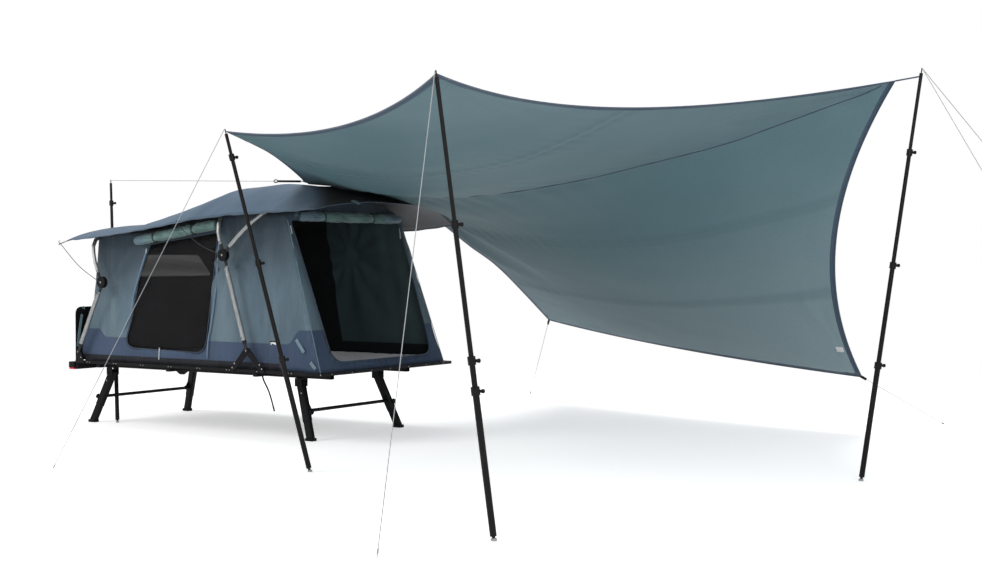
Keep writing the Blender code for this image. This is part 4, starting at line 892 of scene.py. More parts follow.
def tarpTrim(spots, seams):
    roofRows = tarp["roofRows"]
    total = len(spots)
    rim = tube("tarp_binding", [around(spots)], tarp["binding"], "hem", loop=True)
    ridge = tube("tarp_ridge_seam", [moved(spots[roofRows - 1][2:-2], Vector((0, 0, -0.003)))], 0.0032, "hem")
    off = Vector((0, 0, -0.0011))
    rows = [moved(spots[r][2:-2], off) for r in (2, roofRows - 3, roofRows + 1, *[int(s) for s in seams])]
    rows += [moved([row[j] for row in spots[2:-2]], off) for j in (1, tarp["across"] - 2)]
    stitches = grow("tarp_stitches", "stitch", pathMesh(rows),
                    {"Spacing": 0.013, "Radius": 0.0005, "Long": 0.008}, "strap")
    start, end = [spots[total - k][tarp["across"] - 4] + Vector((0, -0.0030, -0.0030)) for k in (7, 6)]
    label = [start, start.lerp(end, tarp["labelLong"] / (end - start).length)]
    webbing("tarp_label", label, tarp["labelLong"], 0.0012, (0, -0.69, -0.72), "label")
    for name, corner, end in (("tarp_tab_back", "lowBack", 2), ("tarp_tab_wall", "lowRight", 3)):
        a = Vector(tarp[corner])
        way = (Vector((*lines["ends"][end], 0.0)) - a).normalized()
        path = [a + way * r + shift for r in (-0.012, 0.02, 0.052)]
        webbing(name, path, 0.020, 0.0046, (0, -1, 0.2), "plastic")
    return [rim, ridge, stitches]


def makeTarp():
    rows, border = tarpForm()
    bm = bmesh.new()
    edge = bm.verts.layers.float.new("edge")
    seam = bm.verts.layers.float.new("seam")
    grid = [[bm.verts.new(spot) for spot in row] for row in rows]
    quads(bm, grid)
    bm.normal_update()
    roof, wall = tarp["roofRows"] - 1, tarp["wallRows"] - 1
    seams = (0.5 * roof, roof + wall / 3, roof + 2 * wall / 3)
    tree = kdtree.KDTree(len(border))
    for k, p in enumerate(border):
        tree.insert(p, k)
    tree.balance()
    moves = []
    for i, row in enumerate(grid):
        for j, vert in enumerate(row):
            p = vert.co
            vert[edge] = tree.find(p)[2]
            vert[seam] = min(abs(i - s) for s in seams) * tarp["cell"]
            amount = cornerFold(p, i, j, len(grid)) + seamFold(i, j, seams)
            amount += wobble(p, (0.9, 1.6, 1.2), 3.0) * 0.022 + wobble(p, (2.2, 5.0, 4.0), 9.0) * 0.006
            moves.append((vert, vert.normal * amount * min(1.0, tree.find(p)[2] / 0.10)))
    for vert, move in moves:
        vert.co += move
        vert.co.z = overFly(vert.co - shift)
    spots = [[vert.co.copy() for vert in row] for row in grid]
    item = finish("tarp_sheet", meshed("tarp_sheet", bm), "tarp")
    thicken(item, tarp["thick"], 0.0)
    trim = tarpTrim(spots, seams)
    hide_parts("tarp")


makeTarp()
print("tarp stretched")


# Fly: one sheet over the hoops, cut back at the two corners of its left end

def flySpot(along, across):
    x = fly["left"] + (fly["right"] - fly["left"]) * along
    y = fly["half"] * across
    z = flyHeight(x, y, fly["sag"])
    z += wobble((x, y, 0), (2.2, 3.0, 1), 4.0) * 0.006 * (1 - abs(across) ** 6)
    z += math.sin(x * 34 + y * 7) * 0.0016 * abs(across) ** 2
    back = max(0.0, 1 - (x - fly["left"]) / fly["cornerLong"])
    return at(x + fly["corner"] * abs(across) ** 5 * back ** 2, y, z)


def makeFly():
    long, wide = fly["rows"]
    spots = [[flySpot(i / (long - 1), 2 * j / (wide - 1) - 1) for j in range(wide)] for i in range(long)]
    bm = bmesh.new()
    quads(bm, [[bm.verts.new(spot) for spot in row] for row in spots], flip=True)
    item = finish("fly_sheet", meshed("fly_sheet", bm), "fly", inner="underFly")
    thicken(item, fly["thick"], 1.0, lined=True)
    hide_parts("fly")
    columns = [list(column) for column in zip(*spots)]
    rim = tube("fly_binding", [around(columns)], fly["binding"], "hem", loop=True)
    squashed(item)
    squashed(rim)


makeFly()
print("fly laid")


# Walls: each is drawn flat with its openings, filled with triangles and bent into place

def inside(p, loop):
    found = False
    o = loop[-1]
    for q in loop:
        if (q[1] > p[1]) != (o[1] > p[1]) and p[0] < (o[0] - q[0]) * (p[1] - q[1]) / (o[1] - q[1]) + q[0]:
            found = not found
        o = q
    return found


def patch(bm, outline, holes, place, step):  # triangles over a flat outline, put in space by place(u, v)
    points = []
    edges = []
    for loop in [outline] + holes:
        start = len(points)
        points += [Vector(p) for p in loop]
        edges += [(start + k, start + (k + 1) % len(loop)) for k in range(len(loop))]
    fixed = list(points)
    u0, u1 = min(p.x for p in points), max(p.x for p in points)
    v0, v1 = min(p.y for p in points), max(p.y for p in points)

    def good(p, room):
        if not inside(p, outline) or any(inside(p, hole) for hole in holes):
            return False
        return all((p - q).length_squared > room * room for q in fixed)

    rows = int((v1 - v0) / (step * 0.87)) + 1
    for i in range(1, rows):
        v = v0 + (v1 - v0) * i / rows
        for k in range(int((u1 - u0) / step) + 1):
            p = Vector((u0 + (k + 0.5 * (i % 2)) * step, v))
            if good(p, step * 0.55):
                points.append(p)
    verts, _, faces, _, _, _ = delaunay_2d_cdt(points, edges, [], 0, 1e-6)
    made = [bm.verts.new(place(v.x, v.y)) for v in verts]
    for face in faces:
        middle = sum((verts[k] for k in face), Vector((0, 0))) / len(face)
        if good(middle, 0.0):
            bm.faces.new([made[k] for k in face])
    for vert in made:
        if not vert.link_faces:
            bm.verts.remove(vert)


def rounded(corners, radius, count=6):  # a closed loop through corners, each turned on its own radius
    out = []
    for k, corner in enumerate(corners):
        p = Vector(corner)
        a = (Vector(corners[k - 1]) - p).normalized() * radius[k]
        b = (Vector(corners[(k + 1) % len(corners)]) - p).normalized() * radius[k]
        for i in range(count + 1):
            t = i / count
            out.append((p + a) * (1 - t) ** 2 + p * 2 * t * (1 - t) + (p + b) * t ** 2)
    full = []
    for k, p in enumerate(out):
        q = out[(k + 1) % len(out)]
        steps = max(1, int((q - p).length / 0.035))
        full += [p.lerp(q, i / steps) for i in range(steps)]
    return full


def rectangle(us, vs):
    return ([(u, vs[0]) for u in us] + [(us[-1], v) for v in vs[1:]] + [(u, vs[-1]) for u in us[::-1][1:]]
            + [(us[0], v) for v in vs[::-1][1:-1]])


# Corners of each opening, and how widely each is rounded
openings = {"window": (((-0.520, 0.618), (0.295, 0.604), (0.345, 1.12), (0.375, 1.48), (-0.320, 1.395),
                        (-0.440, 1.08), (-0.455, 0.90)), (0.11, 0.10, 0.10, 0.02, 0.02, 0.12, 0.12)),
            "door": (((-0.570, 0.566), (0.600, 0.566), (0.612, 1.560), (-0.636, 1.560)),
                     (0.12, 0.12, 0.03, 0.03)),
            "end": (((-0.30, 1.146), (0.58, 1.146), (0.42, 1.318), (-0.22, 1.318)), (0.03,) * 4)}
drawn = {"long": 2.1, "high": 1.02, "wide": 0.70}  # the size of the flat drawings
loops = {name: rounded(*opening) for name, opening in openings.items()}


def wallTop(p):
    return roofHeight(tent["left"] + p * (tent["topRight"] - tent["left"]), tent["topHalf"])


def rightEdge(r):
    return tent["right"] + (tent["topRight"] - tent["right"]) * r


def halfWide(r):
    return tent["half"] + (tent["topHalf"] - tent["half"]) * r


def nearSpot(x, z):  # shares along and up the long wall that put a point at x and height z
    r = 0.5
    for _ in range(8):
        p = (x - tent["left"]) / (rightEdge(r) - tent["left"])
        r = (z - tent["low"]) / (wallTop(p) - tent["low"])
    return p, r


def flare(r):  # the left end swells out over the deck
    return 0.105 * math.exp(-((r - 0.17) / 0.20) ** 2) + 0.030 * (1 - r)


def longWall(p, r, side=-1):
    x = tent["left"] + p * (rightEdge(r) - tent["left"]) - flare(r) * (1 - p) ** 10
    return Vector((x, side * halfWide(r), tent["low"] + r * (wallTop(p) - tent["low"])))


def endWall(s, r, x0, x1):
    top = roofHeight(x1, s * tent["topHalf"])
    out = flare(r) if x0 < 0 else 0.0
    return Vector((x0 + (x1 - x0) * r - out, s * halfWide(r), tent["low"] + r * (top - tent["low"])))


def endSpot(y, z, x1):
    r = 0.5
    for _ in range(8):
        s = y / halfWide(r)
        r = (z - tent["low"]) / (roofHeight(x1, s * tent["topHalf"]) - tent["low"])
    return s, r


def onLong(points):
    return [Vector((p * drawn["long"], r * drawn["high"])) for p, r in (nearSpot(x, z) for x, z in points)]


def onEnd(points, x1):
    return [Vector((s * drawn["wide"], r * drawn["high"])) for s, r in (endSpot(y, z, x1) for y, z in points)]


def nearWall(u, v):
    return longWall(u / drawn["long"], v / drawn["high"])


def farWall(u, v):
    return longWall(u / drawn["long"], v / drawn["high"], 1)


def doorWall(u, v):
    return endWall(u / drawn["wide"], v / drawn["high"], tent["right"], tent["topRight"])


def leftWall(u, v):
    return endWall(u / drawn["wide"], v / drawn["high"], tent["left"], tent["left"])


def roof(u, v):
    return Vector((tent["left"] + u, v, roofHeight(tent["left"] + u, v)))


drawings = {"window": (onLong(loops["window"]), nearWall),
            "door": (onEnd(loops["door"], tent["topRight"]), doorWall),
            "end": (onEnd(loops["end"], tent["left"]), leftWall)}
shares = [k / 60 for k in range(61)]
heights = [k / 30 for k in range(31)]
widths = [k / 20 - 1 for k in range(41)]


def wallPatches(bm):
    up = [r * drawn["high"] for r in heights]
    side = rectangle([p * drawn["long"] for p in shares], up)
    end = rectangle([s * drawn["wide"] for s in widths], up)
    span = tent["topRight"] - tent["left"]
    top = rectangle([p * span for p in shares], [s * tent["topHalf"] for s in widths])
    patch(bm, side, [drawings["window"][0]], nearWall, tent["step"])
    patch(bm, side, [], farWall, tent["step"])
    patch(bm, end, [drawings["door"][0]], doorWall, tent["step"])
    patch(bm, end, [drawings["end"][0]], leftWall, tent["step"])
    patch(bm, top, [], roof, tent["step"] * 1.4)
    bmesh.ops.remove_doubles(bm, verts=bm.verts, dist=0.0004)
    bmesh.ops.recalc_face_normals(bm, faces=bm.faces)
    bm.normal_update()


def wallFoldShade(p):
    amount = wobble(p, (5.5, 5.5, 1.0), 2.0) * 0.010 + wobble(p, (14, 14, 2.4), 5.0) * 0.0035
    onSide = abs(p.y) > 0.5
    if onSide:  # pulled to the hubs, so folds run out from them
        for k, arch in enumerate(("mid", "left")):
            hubX, hubZ = arches[arch]["hub"]
            away = math.hypot(p.x - hubX, p.z - hubZ)
            turn = math.atan2(p.z - hubZ, p.x - hubX)
            fold = math.sin(turn * (11 - 2 * k) + 1.0 + 1.5 * noise.noise(Vector((turn, away * 2, k))))
            fade = min(1.0, away / 0.06) * min(1.0, max(0.1, (p.x + 0.86) / 0.30))
            amount += 0.017 * math.exp(-away / 0.42) * fold * fade
    if onSide and p.x > 0.55:
        pleat = math.sin(p.x * 31 + p.z * 4 + 2 * wobble(p, (3, 1, 1)))
        amount += 0.0045 * pleat * min(1.0, (p.x - 0.55) / 0.2)
    amount += 0.004 * math.exp(-(p.z - tent["low"]) / 0.12) * math.sin(p.x * 26 + p.y * 22)
    return amount * min(1.0, (p.z - tent["low"]) / 0.05)


def makeZips():
    edges = {"window_zip": ("window", Vector((0, -0.003, 0))),
             "door_zip": ("door", Vector((0.003, 0, 0.001)))}
    for name, (opening, out) in edges.items():
        flat, put = drawings[opening]
        path = [put(*q) + out + shift for q in flat]
        squashed(tube(name, [path], 0.0034, "hem", loop=True))
    for name, side in (("corner_piping_near", -1), ("corner_piping_far", 1)):
        path = [longWall(1, r, side) + Vector((0.001, 0.002 * side, 0)) + shift for r in heights[:-1]]
        squashed(tube(name, [path], 0.0028, "strap"))


nets = {"net_window": {"opening": "window", "in": (0, 0.004, 0), "mat": "screen", "flat": (0.84, 0.78),
                       "node": "window_screen"},
        "net_end": {"opening": "end", "in": (0.004, 0, 0), "mat": "paleScreen", "flat": (0.86, 0.172),
                    "node": None}}


def makeNet(name):
    net = nets[name]
    flat, put = drawings[net["opening"]]
    bm = bmesh.new()
    patch(bm, flat, [], lambda u, v: put(u, v) + Vector(net["in"]) + shift, 0.05)
    item = finish(name, meshed(name, bm), net["mat"])
    thicken(item, 0.0008, -1.0)
    if net["node"]:
        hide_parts(net["node"])
    squashed(item)


def makeWalls():
    bm = bmesh.new()
    wallPatches(bm)
    moves = [(vert, vert.normal * wallFoldShade(vert.co)) for vert in bm.verts]
    for vert, move in moves:
        vert.co += move + shift
    item = finish("tent_walls", meshed("tent_walls", bm), "wall", inner="inner")
    thicken(item, tent["thick"], -1.0, lined=True)
    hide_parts("tent_body")
    squashed(item)
    makeZips()
    for name in nets:
        makeNet(name)


makeWalls()
print("walls hung")


# Rolled flaps over the window and the door

rolls = {"radius": 0.043, "turns": 4.5, "ties": (0.24, 0.72), "sides": 14, "count": 61, "thick": 0.0012,
         "off": 0.034,
         "window": {"left": -0.41, "long": 0.82, "low": 1.405, "rise": 0.115, "wallTop": 1.57,
                    "below": 0.040},
         "door": {"near": -0.60, "long": 1.16, "top": 1.583, "lean": 0.0182, "below": 0.050}}


def windowRoute():
    roll = rolls["window"]
    up = (roll["low"] - tent["low"]) / (roll["wallTop"] - tent["low"])
    y = -(halfWide(up) + rolls["off"])
    route = []
    for k in range(9):
        x = roll["left"] + roll["long"] * k / 8
        z = min(roll["low"] + 0.012 + roll["rise"] * k / 8, flyHeight(x, y) - roll["below"])
        route.append(Vector((x, y - 0.008, z)))
    return route


def doorRoute():
    roll = rolls["door"]
    x = tent["topRight"] + rolls["off"] + roll["lean"]
    route = []
    for k in range(9):
        y = roll["near"] + roll["long"] * k / 8
        route.append(Vector((x + 0.004, y, min(roll["top"], flyHeight(x, y) - roll["below"]))))
    return route


def acrossPath(path, i):  # sideways and upwards at a point of a level path
    way = (path[min(i + 1, len(path) - 1)] - path[max(i - 1, 0)]).normalized()
    side = way.cross(Vector((0, 0, 1))).normalized()
    return side, side.cross(way)


def rollRadius(t, k, seed):  # a spiral drawn in at its ties, with a loose outer turn
    sides, last = rolls["sides"], int(rolls["sides"] * rolls["turns"])
    pinch = 1.0 - sum(0.24 * math.exp(-((t - tie) / 0.022) ** 2) for tie in rolls["ties"])
    r = rolls["radius"] * (0.16 + 0.84 * k / last) * pinch * (1.0 - 0.12 * (2 * t - 1) ** 8)
    if k > last - sides - 1:
        turn = 2 * math.pi * k / sides
        r *= 1.0 + 0.17 * noise.noise(Vector((t * 13 + seed, turn * 1.1, seed)))
        r *= 1.0 + 0.04 * math.sin(t * 95 + turn * 2)
    return r


def makeRoll(name, route, node, seed):
    path = smoothPath(route, rolls["count"])
    bm = bmesh.new()
    rings = []
    for i, spot in enumerate(path):
        side, up = acrossPath(path, i)
        ring = []
        for k in range(int(rolls["sides"] * rolls["turns"]) + 1):
            turn = 2 * math.pi * k / rolls["sides"]
            r = rollRadius(i / (rolls["count"] - 1), k, seed)
            sag = 0.88 if math.sin(turn) < 0 else 1.0
            out = side * math.cos(turn) * r + up * math.sin(turn) * r * sag
            ring.append(bm.verts.new(spot + out + shift))
        rings.append(ring)
    quads(bm, rings)
    bmesh.ops.recalc_face_normals(bm, faces=bm.faces)
    item = finish(name, meshed(name, bm), "roll")
    thicken(item, rolls["thick"], 0.0)
    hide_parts(node)
    squashed(item)
    ties = []
    for tie in rolls["ties"]:
        k = int(tie * (rolls["count"] - 1))
        side, up = acrossPath(path, k)
        wide = rolls["radius"] * 0.80
        turns = [2 * math.pi * n / 24 for n in range(24)]
        ties.append([path[k] + (side * math.cos(a) + up * math.sin(a)) * wide + shift for a in turns])
    tied = squashed(tube(name + "_ties", ties, 0.0032, "elastic", loop=True))


makeRoll("window_flap_roll", windowRoute(), "window_roll", 1.0)
makeRoll("door_flap_roll", doorRoute(), "door_roll", 4.0)
print("flaps rolled")


# Mattress: foam in a knit cover, swollen by a short cloth run

pad = {"inset": 0.07, "low": 0.5026, "thick": 0.055, "swell": (0.012, 0.012, 0.010), "bevel": 0.014,
       "voxel": 0.014, "pressure": 4, "frames": 17, "cap": 0.006, "quilt": 0.14, "dent": 0.004}


def swell(item):
    rest = [v.co.copy() for v in item.data.vertices]
    cloth = item.modifiers.new("cloth", "CLOTH")
    cloth.settings.quality = 4
    cloth.settings.use_pressure = True
    cloth.settings.uniform_pressure_force = pad["pressure"]
    cloth.settings.effector_weights.gravity = 0
    cloth.collision_settings.use_collision = False
    scene = bpy.context.scene
    for number in range(1, pad["frames"]):
        scene.frame_set(number)
    baked(item)
    scene.frame_set(1)
    for vert, was in zip(item.data.vertices, rest):
        move = vert.co - was
        if move.length > pad["cap"]:
            move *= pad["cap"] / move.length
        vert.co = was + move


def quilt(item):  # quilting lines and soft dents on the upper side
    low, top = pad["low"], pad["low"] + pad["thick"]
    for vert in item.data.vertices:
        p = vert.co
        if p.z > low + 0.03:
            for across in (p.x - p.y, p.x + p.y):
                away = abs((across / pad["quilt"]) % 1.0 - 0.5)
                p.z -= pad["dent"] * math.exp(-(away / 0.07) ** 2)
            p.z += wobble(p, (4, 4, 1), 6.0) * pad["dent"]
        p.z = min(max(p.z, low + 0.0003), top + pad["dent"])


def makeMattress():
    x0, x1 = tent["left"] + pad["inset"], tent["right"] - pad["inset"]
    full = Vector((x1 - x0, 2 * (tent["half"] - pad["inset"]), pad["thick"]))
    size = full - Vector(pad["swell"])
    middle = at((x0 + x1) / 2, 0, pad["low"] + pad["thick"] / 2 - 0.001)
    bm = bmesh.new()
    bmesh.ops.create_cube(bm, size=1.0)
    for vert in bm.verts:
        vert.co = vert.co * size
    bmesh.ops.bevel(bm, geom=bm.edges, offset=pad["bevel"], segments=3, affect="EDGES")
    for vert in bm.verts:
        vert.co += middle
    item = finish("mattress_pad", meshed("mattress_pad", bm), "mattress")
    remesh = item.modifiers.new("remesh", "REMESH")
    remesh.mode = "VOXEL"
    remesh.voxel_size = pad["voxel"]
    baked(item)
    swell(item)
    quilt(item)
    smooth = item.modifiers.new("smooth", "SUBSURF")
    smooth.levels = smooth.render_levels = 1
    baked(item).shade_smooth()
    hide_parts("mattress")


makeMattress()
print("mattress filled")


# Elastic cords from the hubs to the fly's near hem

elastic = {"radius": 0.0025, "hubFace": 0.7958, "hem": 0.794, "below": 0.0026, "slack": (0, -0.004, -0.03),
           "holds": {"left": -1.17, "mid": 0.10}}


def makeElastics():
    r = elastic["radius"]
    for label, x in elastic["holds"].items():
        name = "elastic_" + label
        hubX, hubZ = arches[label]["hub"]
        top = Vector((x, -elastic["hem"], flyHeight(x, fly["half"]) - r - elastic["below"]))
        low = Vector((hubX, -(elastic["hubFace"] + r + 0.0003), hubZ))
        path = moved(smoothPath((top, (top + low) / 2 + Vector(elastic["slack"]), low), 24))
        item = tube("cord_" + name, [path], r, "elastic")
        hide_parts(name)
        squashed(item)


makeElastics()
print("elastics hooked")


# Studs: bolts, rivets and hub pins on what they hold, and the clamps and foot caps of the poles

studs = {"rivet": (0.0040, 0.0022), "bolt": (0.0058, 0.0034), "eyelet": (0.0085, 0.0024),  # radius, height
         "pin": (0.0056, 0.0040), "thumb": (0.0100, 0.0120), "shank": (0.0075, 0.0160),
         "cap": (0.0145, 0.0100)}
studPlaces = {"tube": (0.112, 0.128, -0.094),
              "bracketMid": ((0, 0), (-0.118, -0.095), (-0.140, -0.125), (0.118, -0.095), (0.140, -0.125)),
              "bracketLeft": ((0, 0), (0.023, -0.042)), "rimClips": (-0.90, 0.29, 9, (0, 0.028)),
              "rimEnd": (1.8, -0.66, 0.22, 7), "railHigh": 0.464,
              "rails": {"left": (-0.95, -0.90, -0.62, -0.30), "right": (0.30, 0.62, 0.90, 0.95, 1.18)},
              "legs": {"left": ((-0.97, 0.392), (-1.00, 0.330)), "right": ((0.97, 0.392), (1.00, 0.330))},
              "clampSide": (0.83, 0.55, 0.0), "shankOff": 0.003, "thumbOff": 0.013, "capHigh": 0.0062}
studRows = {}  # body, kind and finish of each row, with its spots


def put(body, kind, mat, spots):
    studRows.setdefault((body, kind, mat), []).extend(spots)


def seats(node, starts, way):  # the places on a node that rays from the starts meet, with the way out of it
    found = []
    for start in starts:
        hit, spot, _, _ = nodes[node].ray_cast(at(*start), Vector(way))
        if hit:
            found.append((spot + Vector(way) * 0.0008, -Vector(way)))
    return found


def between(a, b, reaches):  # distances from a towards b, or negative ones back from b
    way = (Vector(b) - Vector(a)).normalized()
    return [tuple(Vector(a if r > 0 else b) + way * r) for r in reaches]


def sideStuds(side, y, way):
    def row(body, kind, mat, node, spots):
        put(body, kind, mat, seats(node, [(x, y, z) for x, z in spots], way))

    for label in ("mid", "left"):
        arch = arches[label]
        body = "arch_" + label
        onTube = between(arch["hub"], arch["base"], studPlaces["tube"])
        row(body, "rivet", "plastic", "lower_tube_%s_%s" % (label, side), onTube)
        for kind, mat in (("eyelet", "steel"), ("pin", "plastic")):
            row(body, kind, mat, "hub_%s_%s" % (label, side), [arch["hub"]])
    for node, label, offsets in (("v_bracket_", "mid", "bracketMid"),
                                 ("end_bracket_", "left", "bracketLeft")):
        x, z = arches[label]["base"]
        row("base", "bolt", "steel", node + side, [(x + dx, z + dz) for dx, dz in studPlaces[offsets]])
    first, step, count, pair = studPlaces["rimClips"]
    clips = [(first + step * k + dx, rimHeight()) for k in range(count) for dx in pair]
    row("base", "rivet", "steel", "deck_rim", clips)
    for label, xs in studPlaces["rails"].items():
        row("base", "bolt", "plastic", "chassis_" + label, [(x, studPlaces["railHigh"]) for x in xs])
    for label, spots in studPlaces["legs"].items():
        row("legs_" + label, "bolt", "steel", "leg_frame_" + label, spots)


def rimHeight():
    return sum(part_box("deck_rim")[k][2] for k in (0, 1)) / 2


def poleStuds(index):
    foot, up, long = poleLine(index)
    out = Vector(studPlaces["clampSide"]).normalized()
    for n, share in enumerate(poles["collars"][index]):
        body = "base" if n else "pole_foot_%d" % index
        centre = foot + up * (long * share + (0 if n else poles["collarLong"] / 2)) + shift
        wide = poles["tubes"][n] + poles["collarWall"]
        for kind in ("shank", "thumb"):
            put(body, kind, "plastic", [(centre + out * (wide + studPlaces[kind + "Off"]), out)])
    cap = foot + shift + Vector((0, 0, studPlaces["capHigh"]))
    put("pole_foot_%d" % index, "cap", "steel", [(cap, Vector((0, 0, 1)))])


def makeStuds():
    sideStuds("near", -1.0, (0, 1, 0))
    sideStuds("far", 1.0, (0, -1, 0))
    x, first, step, count = studPlaces["rimEnd"]
    ends = [(x, first + step * k, rimHeight()) for k in range(count)]
    put("base", "rivet", "steel", seats("deck_rim", ends, (-1, 0, 0)))
    for index in range(4):
        poleStuds(index)
    for (body, kind, mat), spots in studRows.items():
        if spots:
            sizes = dict(zip(("Radius", "Height"), studs[kind]))
            grow("%s_%s_%s" % (kind, mat, body), "stud", pointMesh(spots), sizes, mat, body)
    print("studs:", sum(len(spots) for spots in studRows.values()))


# Trim: straps, labels, tapes, hooks and zips

panelTrim = {"strap": ((-0.690, 0.918), (-0.712, 0.850), (-0.728, 0.770), (-0.742, 0.690), (-0.750, 0.610)),
             "strapSize": (0.024, 0.0022), "buckleSize": (0.032, 0.0050), "off": 0.0035, "buckleOff": 0.003}
ridgeTrim = {"reach": (0.012, 0.08, 0.16, 0.24), "size": (0.016, 0.0052), "ring": (0.020, 0.011),
             "wire": 0.0036}
# Straps of the near wall: points as x and height, distance off the wall, width, thickness and finish
straps = {"band_label": (((0.925, 0.692), (0.942, 0.692), (0.958, 0.692), (0.975, 0.692)),
                         0.0045, 0.020, 0.0012, "label"),
          "band_tab": (((0.918, 0.706), (0.982, 0.706)), 0.0042, 0.012, 0.0016, "plastic"),
          "corner_strap_high": (straight((1.160, 0.728), (1.235, 0.640), 7), 0.0065, 0.026, 0.0022, "strap"),
          "corner_strap_low": (straight((1.296, 0.574), (1.345, 0.528), 7), 0.0065, 0.026, 0.0022, "strap")}
tapes = {"routes": {"window_tape_left": ((-0.345, 1.367), (-0.455, 1.052), (-0.480, 0.901), (-0.552, 0.688),
                                         (-0.566, 0.556)),
                    "window_tape_right": ((0.392, 1.480), (0.380, 1.10), (0.345, 0.808), (0.322, 0.692),
                                          (0.322, 0.566))},
         "off": 0.0052, "size": (0.013, 0.0030)}
pulls = {"window": ((-0.162, 0.008, (0.628, 0.600, 0.566, 0.540)), (-0.350, 0.010, (1.362, 1.345, 1.330)),
                    (0.392, 0.010, (1.500, 1.470, 1.440))),
         "door": (((1.052, -0.650, 1.520), (1.060, -0.650, 1.490), (1.066, -0.648, 1.462)),
                  ((1.052, 0.612, 1.520), (1.060, 0.612, 1.480), (1.066, 0.608, 1.440))), "radius": 0.0036}
flyTrim = {"tab": ((1.385, -0.385, 0.006), (1.420, -0.380, 0.006), (1.445, -0.372, -0.012)),
           "tabSize": (0.026, 0.0020),
           "hook": ((0.010, 0.010), (0.002, 0.014), (-0.006, 0.009), (-0.004, 0.0), (0.004, -0.006),
                    (0.006, -0.014), (-0.001, -0.019), (-0.008, -0.014)), "wire": 0.0019}
teeth = {"off": 0.0066, "sizes": {"Spacing": 0.006, "Radius": 0.0012, "Long": 0.0035}}


def onWall(x, z, off):
    return longWall(*nearSpot(x, z)) + Vector((0, -off, 0)) + shift


def makePanelStrap():
    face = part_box("end_panel")[1][0] + panelTrim["off"]
    path = smoothPath([(face, y + shift.y, z) for y, z in panelTrim["strap"]], 16)
    webbing("panel_strap", path, *panelTrim["strapSize"], (1, 0, 0), "strap")
    over = moved(path[1:4], Vector((panelTrim["buckleOff"], 0, 0)))
    webbing("panel_buckle", over, *panelTrim["buckleSize"], (1, 0, 0), "plastic")


def makeRidgeHook():
    corner = Vector(tarp["ridgeLeft"])
    toward = (Vector(poles["tips"][0]) - corner).normalized()
    path = [corner + toward * r + shift for r in ridgeTrim["reach"]]
    webbing("ridge_webbing", path, *ridgeTrim["size"], (0, -1, 0), "plastic")
    long, high = ridgeTrim["ring"]
    ring = []
    for k in range(20):
        a = 2 * math.pi * k / 20
        ring.append(path[-1] + toward * (long + long * math.cos(a)) + Vector((0, 0, high * math.sin(a))))
    tube("ridge_hook", [ring], ridgeTrim["wire"], "plastic", loop=True)


def makeWallTrim():
    for name, (spots, off, wide, thick, mat) in straps.items():
        squashed(webbing(name, [onWall(x, z, off) for x, z in spots], wide, thick, (0, -1, 0), mat))
    for name, route in tapes["routes"].items():
        path = smoothPath([onWall(x, z, tapes["off"]) for x, z in route], 30)
        squashed(webbing(name, path, *tapes["size"], (0, -1, 0), "zipCord"))
    hanging = [[onWall(x, z, off) for z in zs] for x, off, zs in pulls["window"]]
    hanging += [[at(*spot) for spot in spots] for spots in pulls["door"]]
    squashed(tube("zip_pulls", hanging, pulls["radius"], "toggle"))


def makeFlyTrim():
    tab = [at(x, y, flyHeight(x, y) + dz) for x, y, dz in flyTrim["tab"][:2]]
    x, y, dz = flyTrim["tab"][2]
    tab.append(at(x, y, flyHeight(fly["right"], flyTrim["tab"][1][1]) + dz))
    squashed(webbing("fly_tab", tab, *flyTrim["tabSize"], (0, -0.4, 1), "strap"))
    hooks = []
    for x in elastic["holds"].values():
        top = at(x, -elastic["hem"], flyHeight(x, -fly["half"]) - 0.004)
        hooks.append(smoothPath([top + Vector((dx, -0.004, dz)) for dx, dz in flyTrim["hook"]], 24))
    squashed(tube("fly_hooks", hooks, flyTrim["wire"], "plastic"))


def makeZipTeeth():
    path = [onWall(q.x, q.y, teeth["off"]) for q in loops["window"]]
    squashed(grow("window_zip_teeth", "stitch", pathMesh([path], loop=True), teeth["sizes"], "plastic"))


makeStuds()
makePanelStrap()
makeRidgeHook()
makeWallTrim()
makeFlyTrim()
makeZipTeeth()
print("small parts set")


# Floor, backdrop and lamps

stage = {"floor": (0.93, 0.93, 0.93), "floorGlow": 0.46, "floorSize": 60, "fade": (3.5, 8.0), "fadeFrom": 1.0,
         "sky": 0.50, "skyTint": (0.95, 0.97, 1.0, 1), "aim": (0.3, 0, 0.9),
         "lamps": {"key": ((-5.5, -8.0, 7.5), 5.0, 500, (1, 0.98, 0.95)),
                   "fill": ((6.5, -7.0, 3.5), 4.0, 300, (0.96, 0.98, 1)),
                   "top": ((-0.5, 1.5, 9.5), 6.0, 480, (1, 1, 1))}}


def background(tree):  # 1 for what the camera sees, directly or by a mirror or glass
    path = addNode(tree, "ShaderNodeLightPath").outputs
    direct, mirror, glass = [Sock(tree, path["Is %s Ray" % kind])
                             for kind in ("Camera", "Glossy", "Transmission")]
    return direct.most(mirror).most(glass)


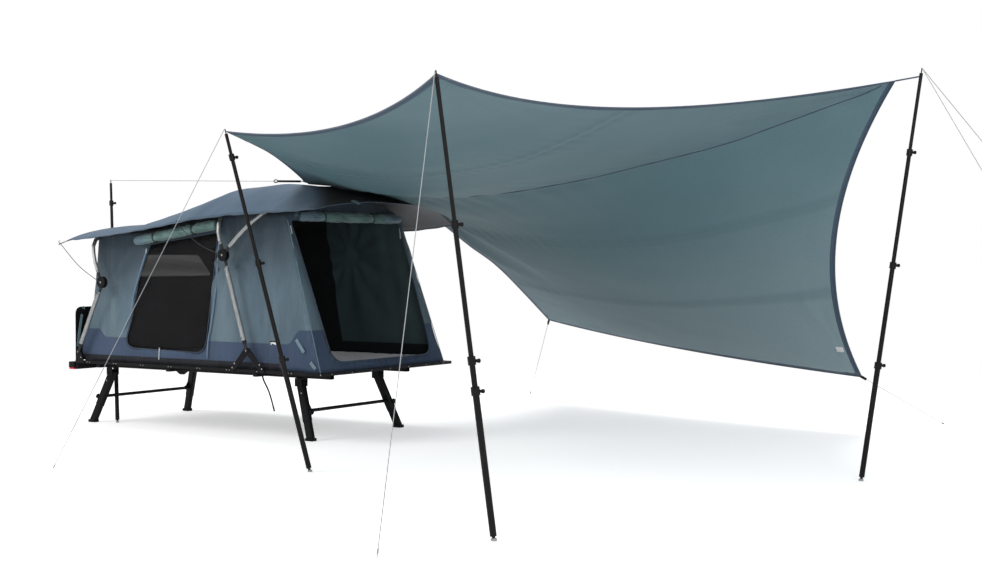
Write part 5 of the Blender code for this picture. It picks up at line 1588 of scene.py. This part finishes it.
def makeFloor():
    floor = Shader("floor", stage["floor"], 0.8)
    tree = floor.tree
    seen = background(tree)
    x, y, z = floor.axes(floor.coords())
    y = y - stage["fadeFrom"]
    away = (x * x + y * y) ** 0.5
    lit = floor.main.outputs[0]
    white = addNode(tree, "ShaderNodeEmission", None, {"Strength": 1.0}).outputs[0]
    faint = addNode(tree, "ShaderNodeEmission", None, {"Strength": stage["floorGlow"]}).outputs[0]
    both = addNode(tree, "ShaderNodeAddShader", None, {0: lit, 1: faint}).outputs[0]
    near = addNode(tree, "ShaderNodeMixShader", None, {0: seen, 1: lit, 2: both}).outputs[0]
    far = addNode(tree, "ShaderNodeMixShader", None, {0: seen * away.ramp(*stage["fade"]), 1: near, 2: white})
    tree.links.new(far.outputs[0], tree.nodes["Material Output"].inputs[0])
    bm = bmesh.new()
    bmesh.ops.create_grid(bm, x_segments=1, y_segments=1, size=stage["floorSize"])
    mesh = meshed("floor", bm)
    mesh.materials.append(floor.mat)
    ground = bpy.data.objects.new("floor", mesh)
    bpy.context.scene.collection.objects.link(ground)


def makeWorld():
    world = bpy.data.worlds.new("studio")
    bpy.context.scene.world = world
    world.use_nodes = True
    tree = world.node_tree
    tree.nodes.clear()
    sky = addNode(tree, "ShaderNodeBackground", None, {0: stage["skyTint"], 1: stage["sky"]}).outputs[0]
    white = addNode(tree, "ShaderNodeBackground", None, {0: (1, 1, 1, 1), 1: 1.0}).outputs[0]
    blend = addNode(tree, "ShaderNodeMixShader", None, {0: background(tree), 1: sky, 2: white}).outputs[0]
    addNode(tree, "ShaderNodeOutputWorld", None, {0: blend})


def makeLamps():
    for name, (spot, size, power, tint) in stage["lamps"].items():
        data = bpy.data.lights.new(name, "AREA")
        data.size = size
        data.energy = power
        data.color = tint
        lamp = bpy.data.objects.new(name, data)
        lamp.location = spot
        lamp.rotation_euler = (Vector(stage["aim"]) - Vector(spot)).to_track_quat("-Z", "Y").to_euler()
        bpy.context.scene.collection.objects.link(lamp)


makeFloor()
makeWorld()
makeLamps()
bpy.context.scene.view_settings.view_transform = "Standard"
print("stage lit")
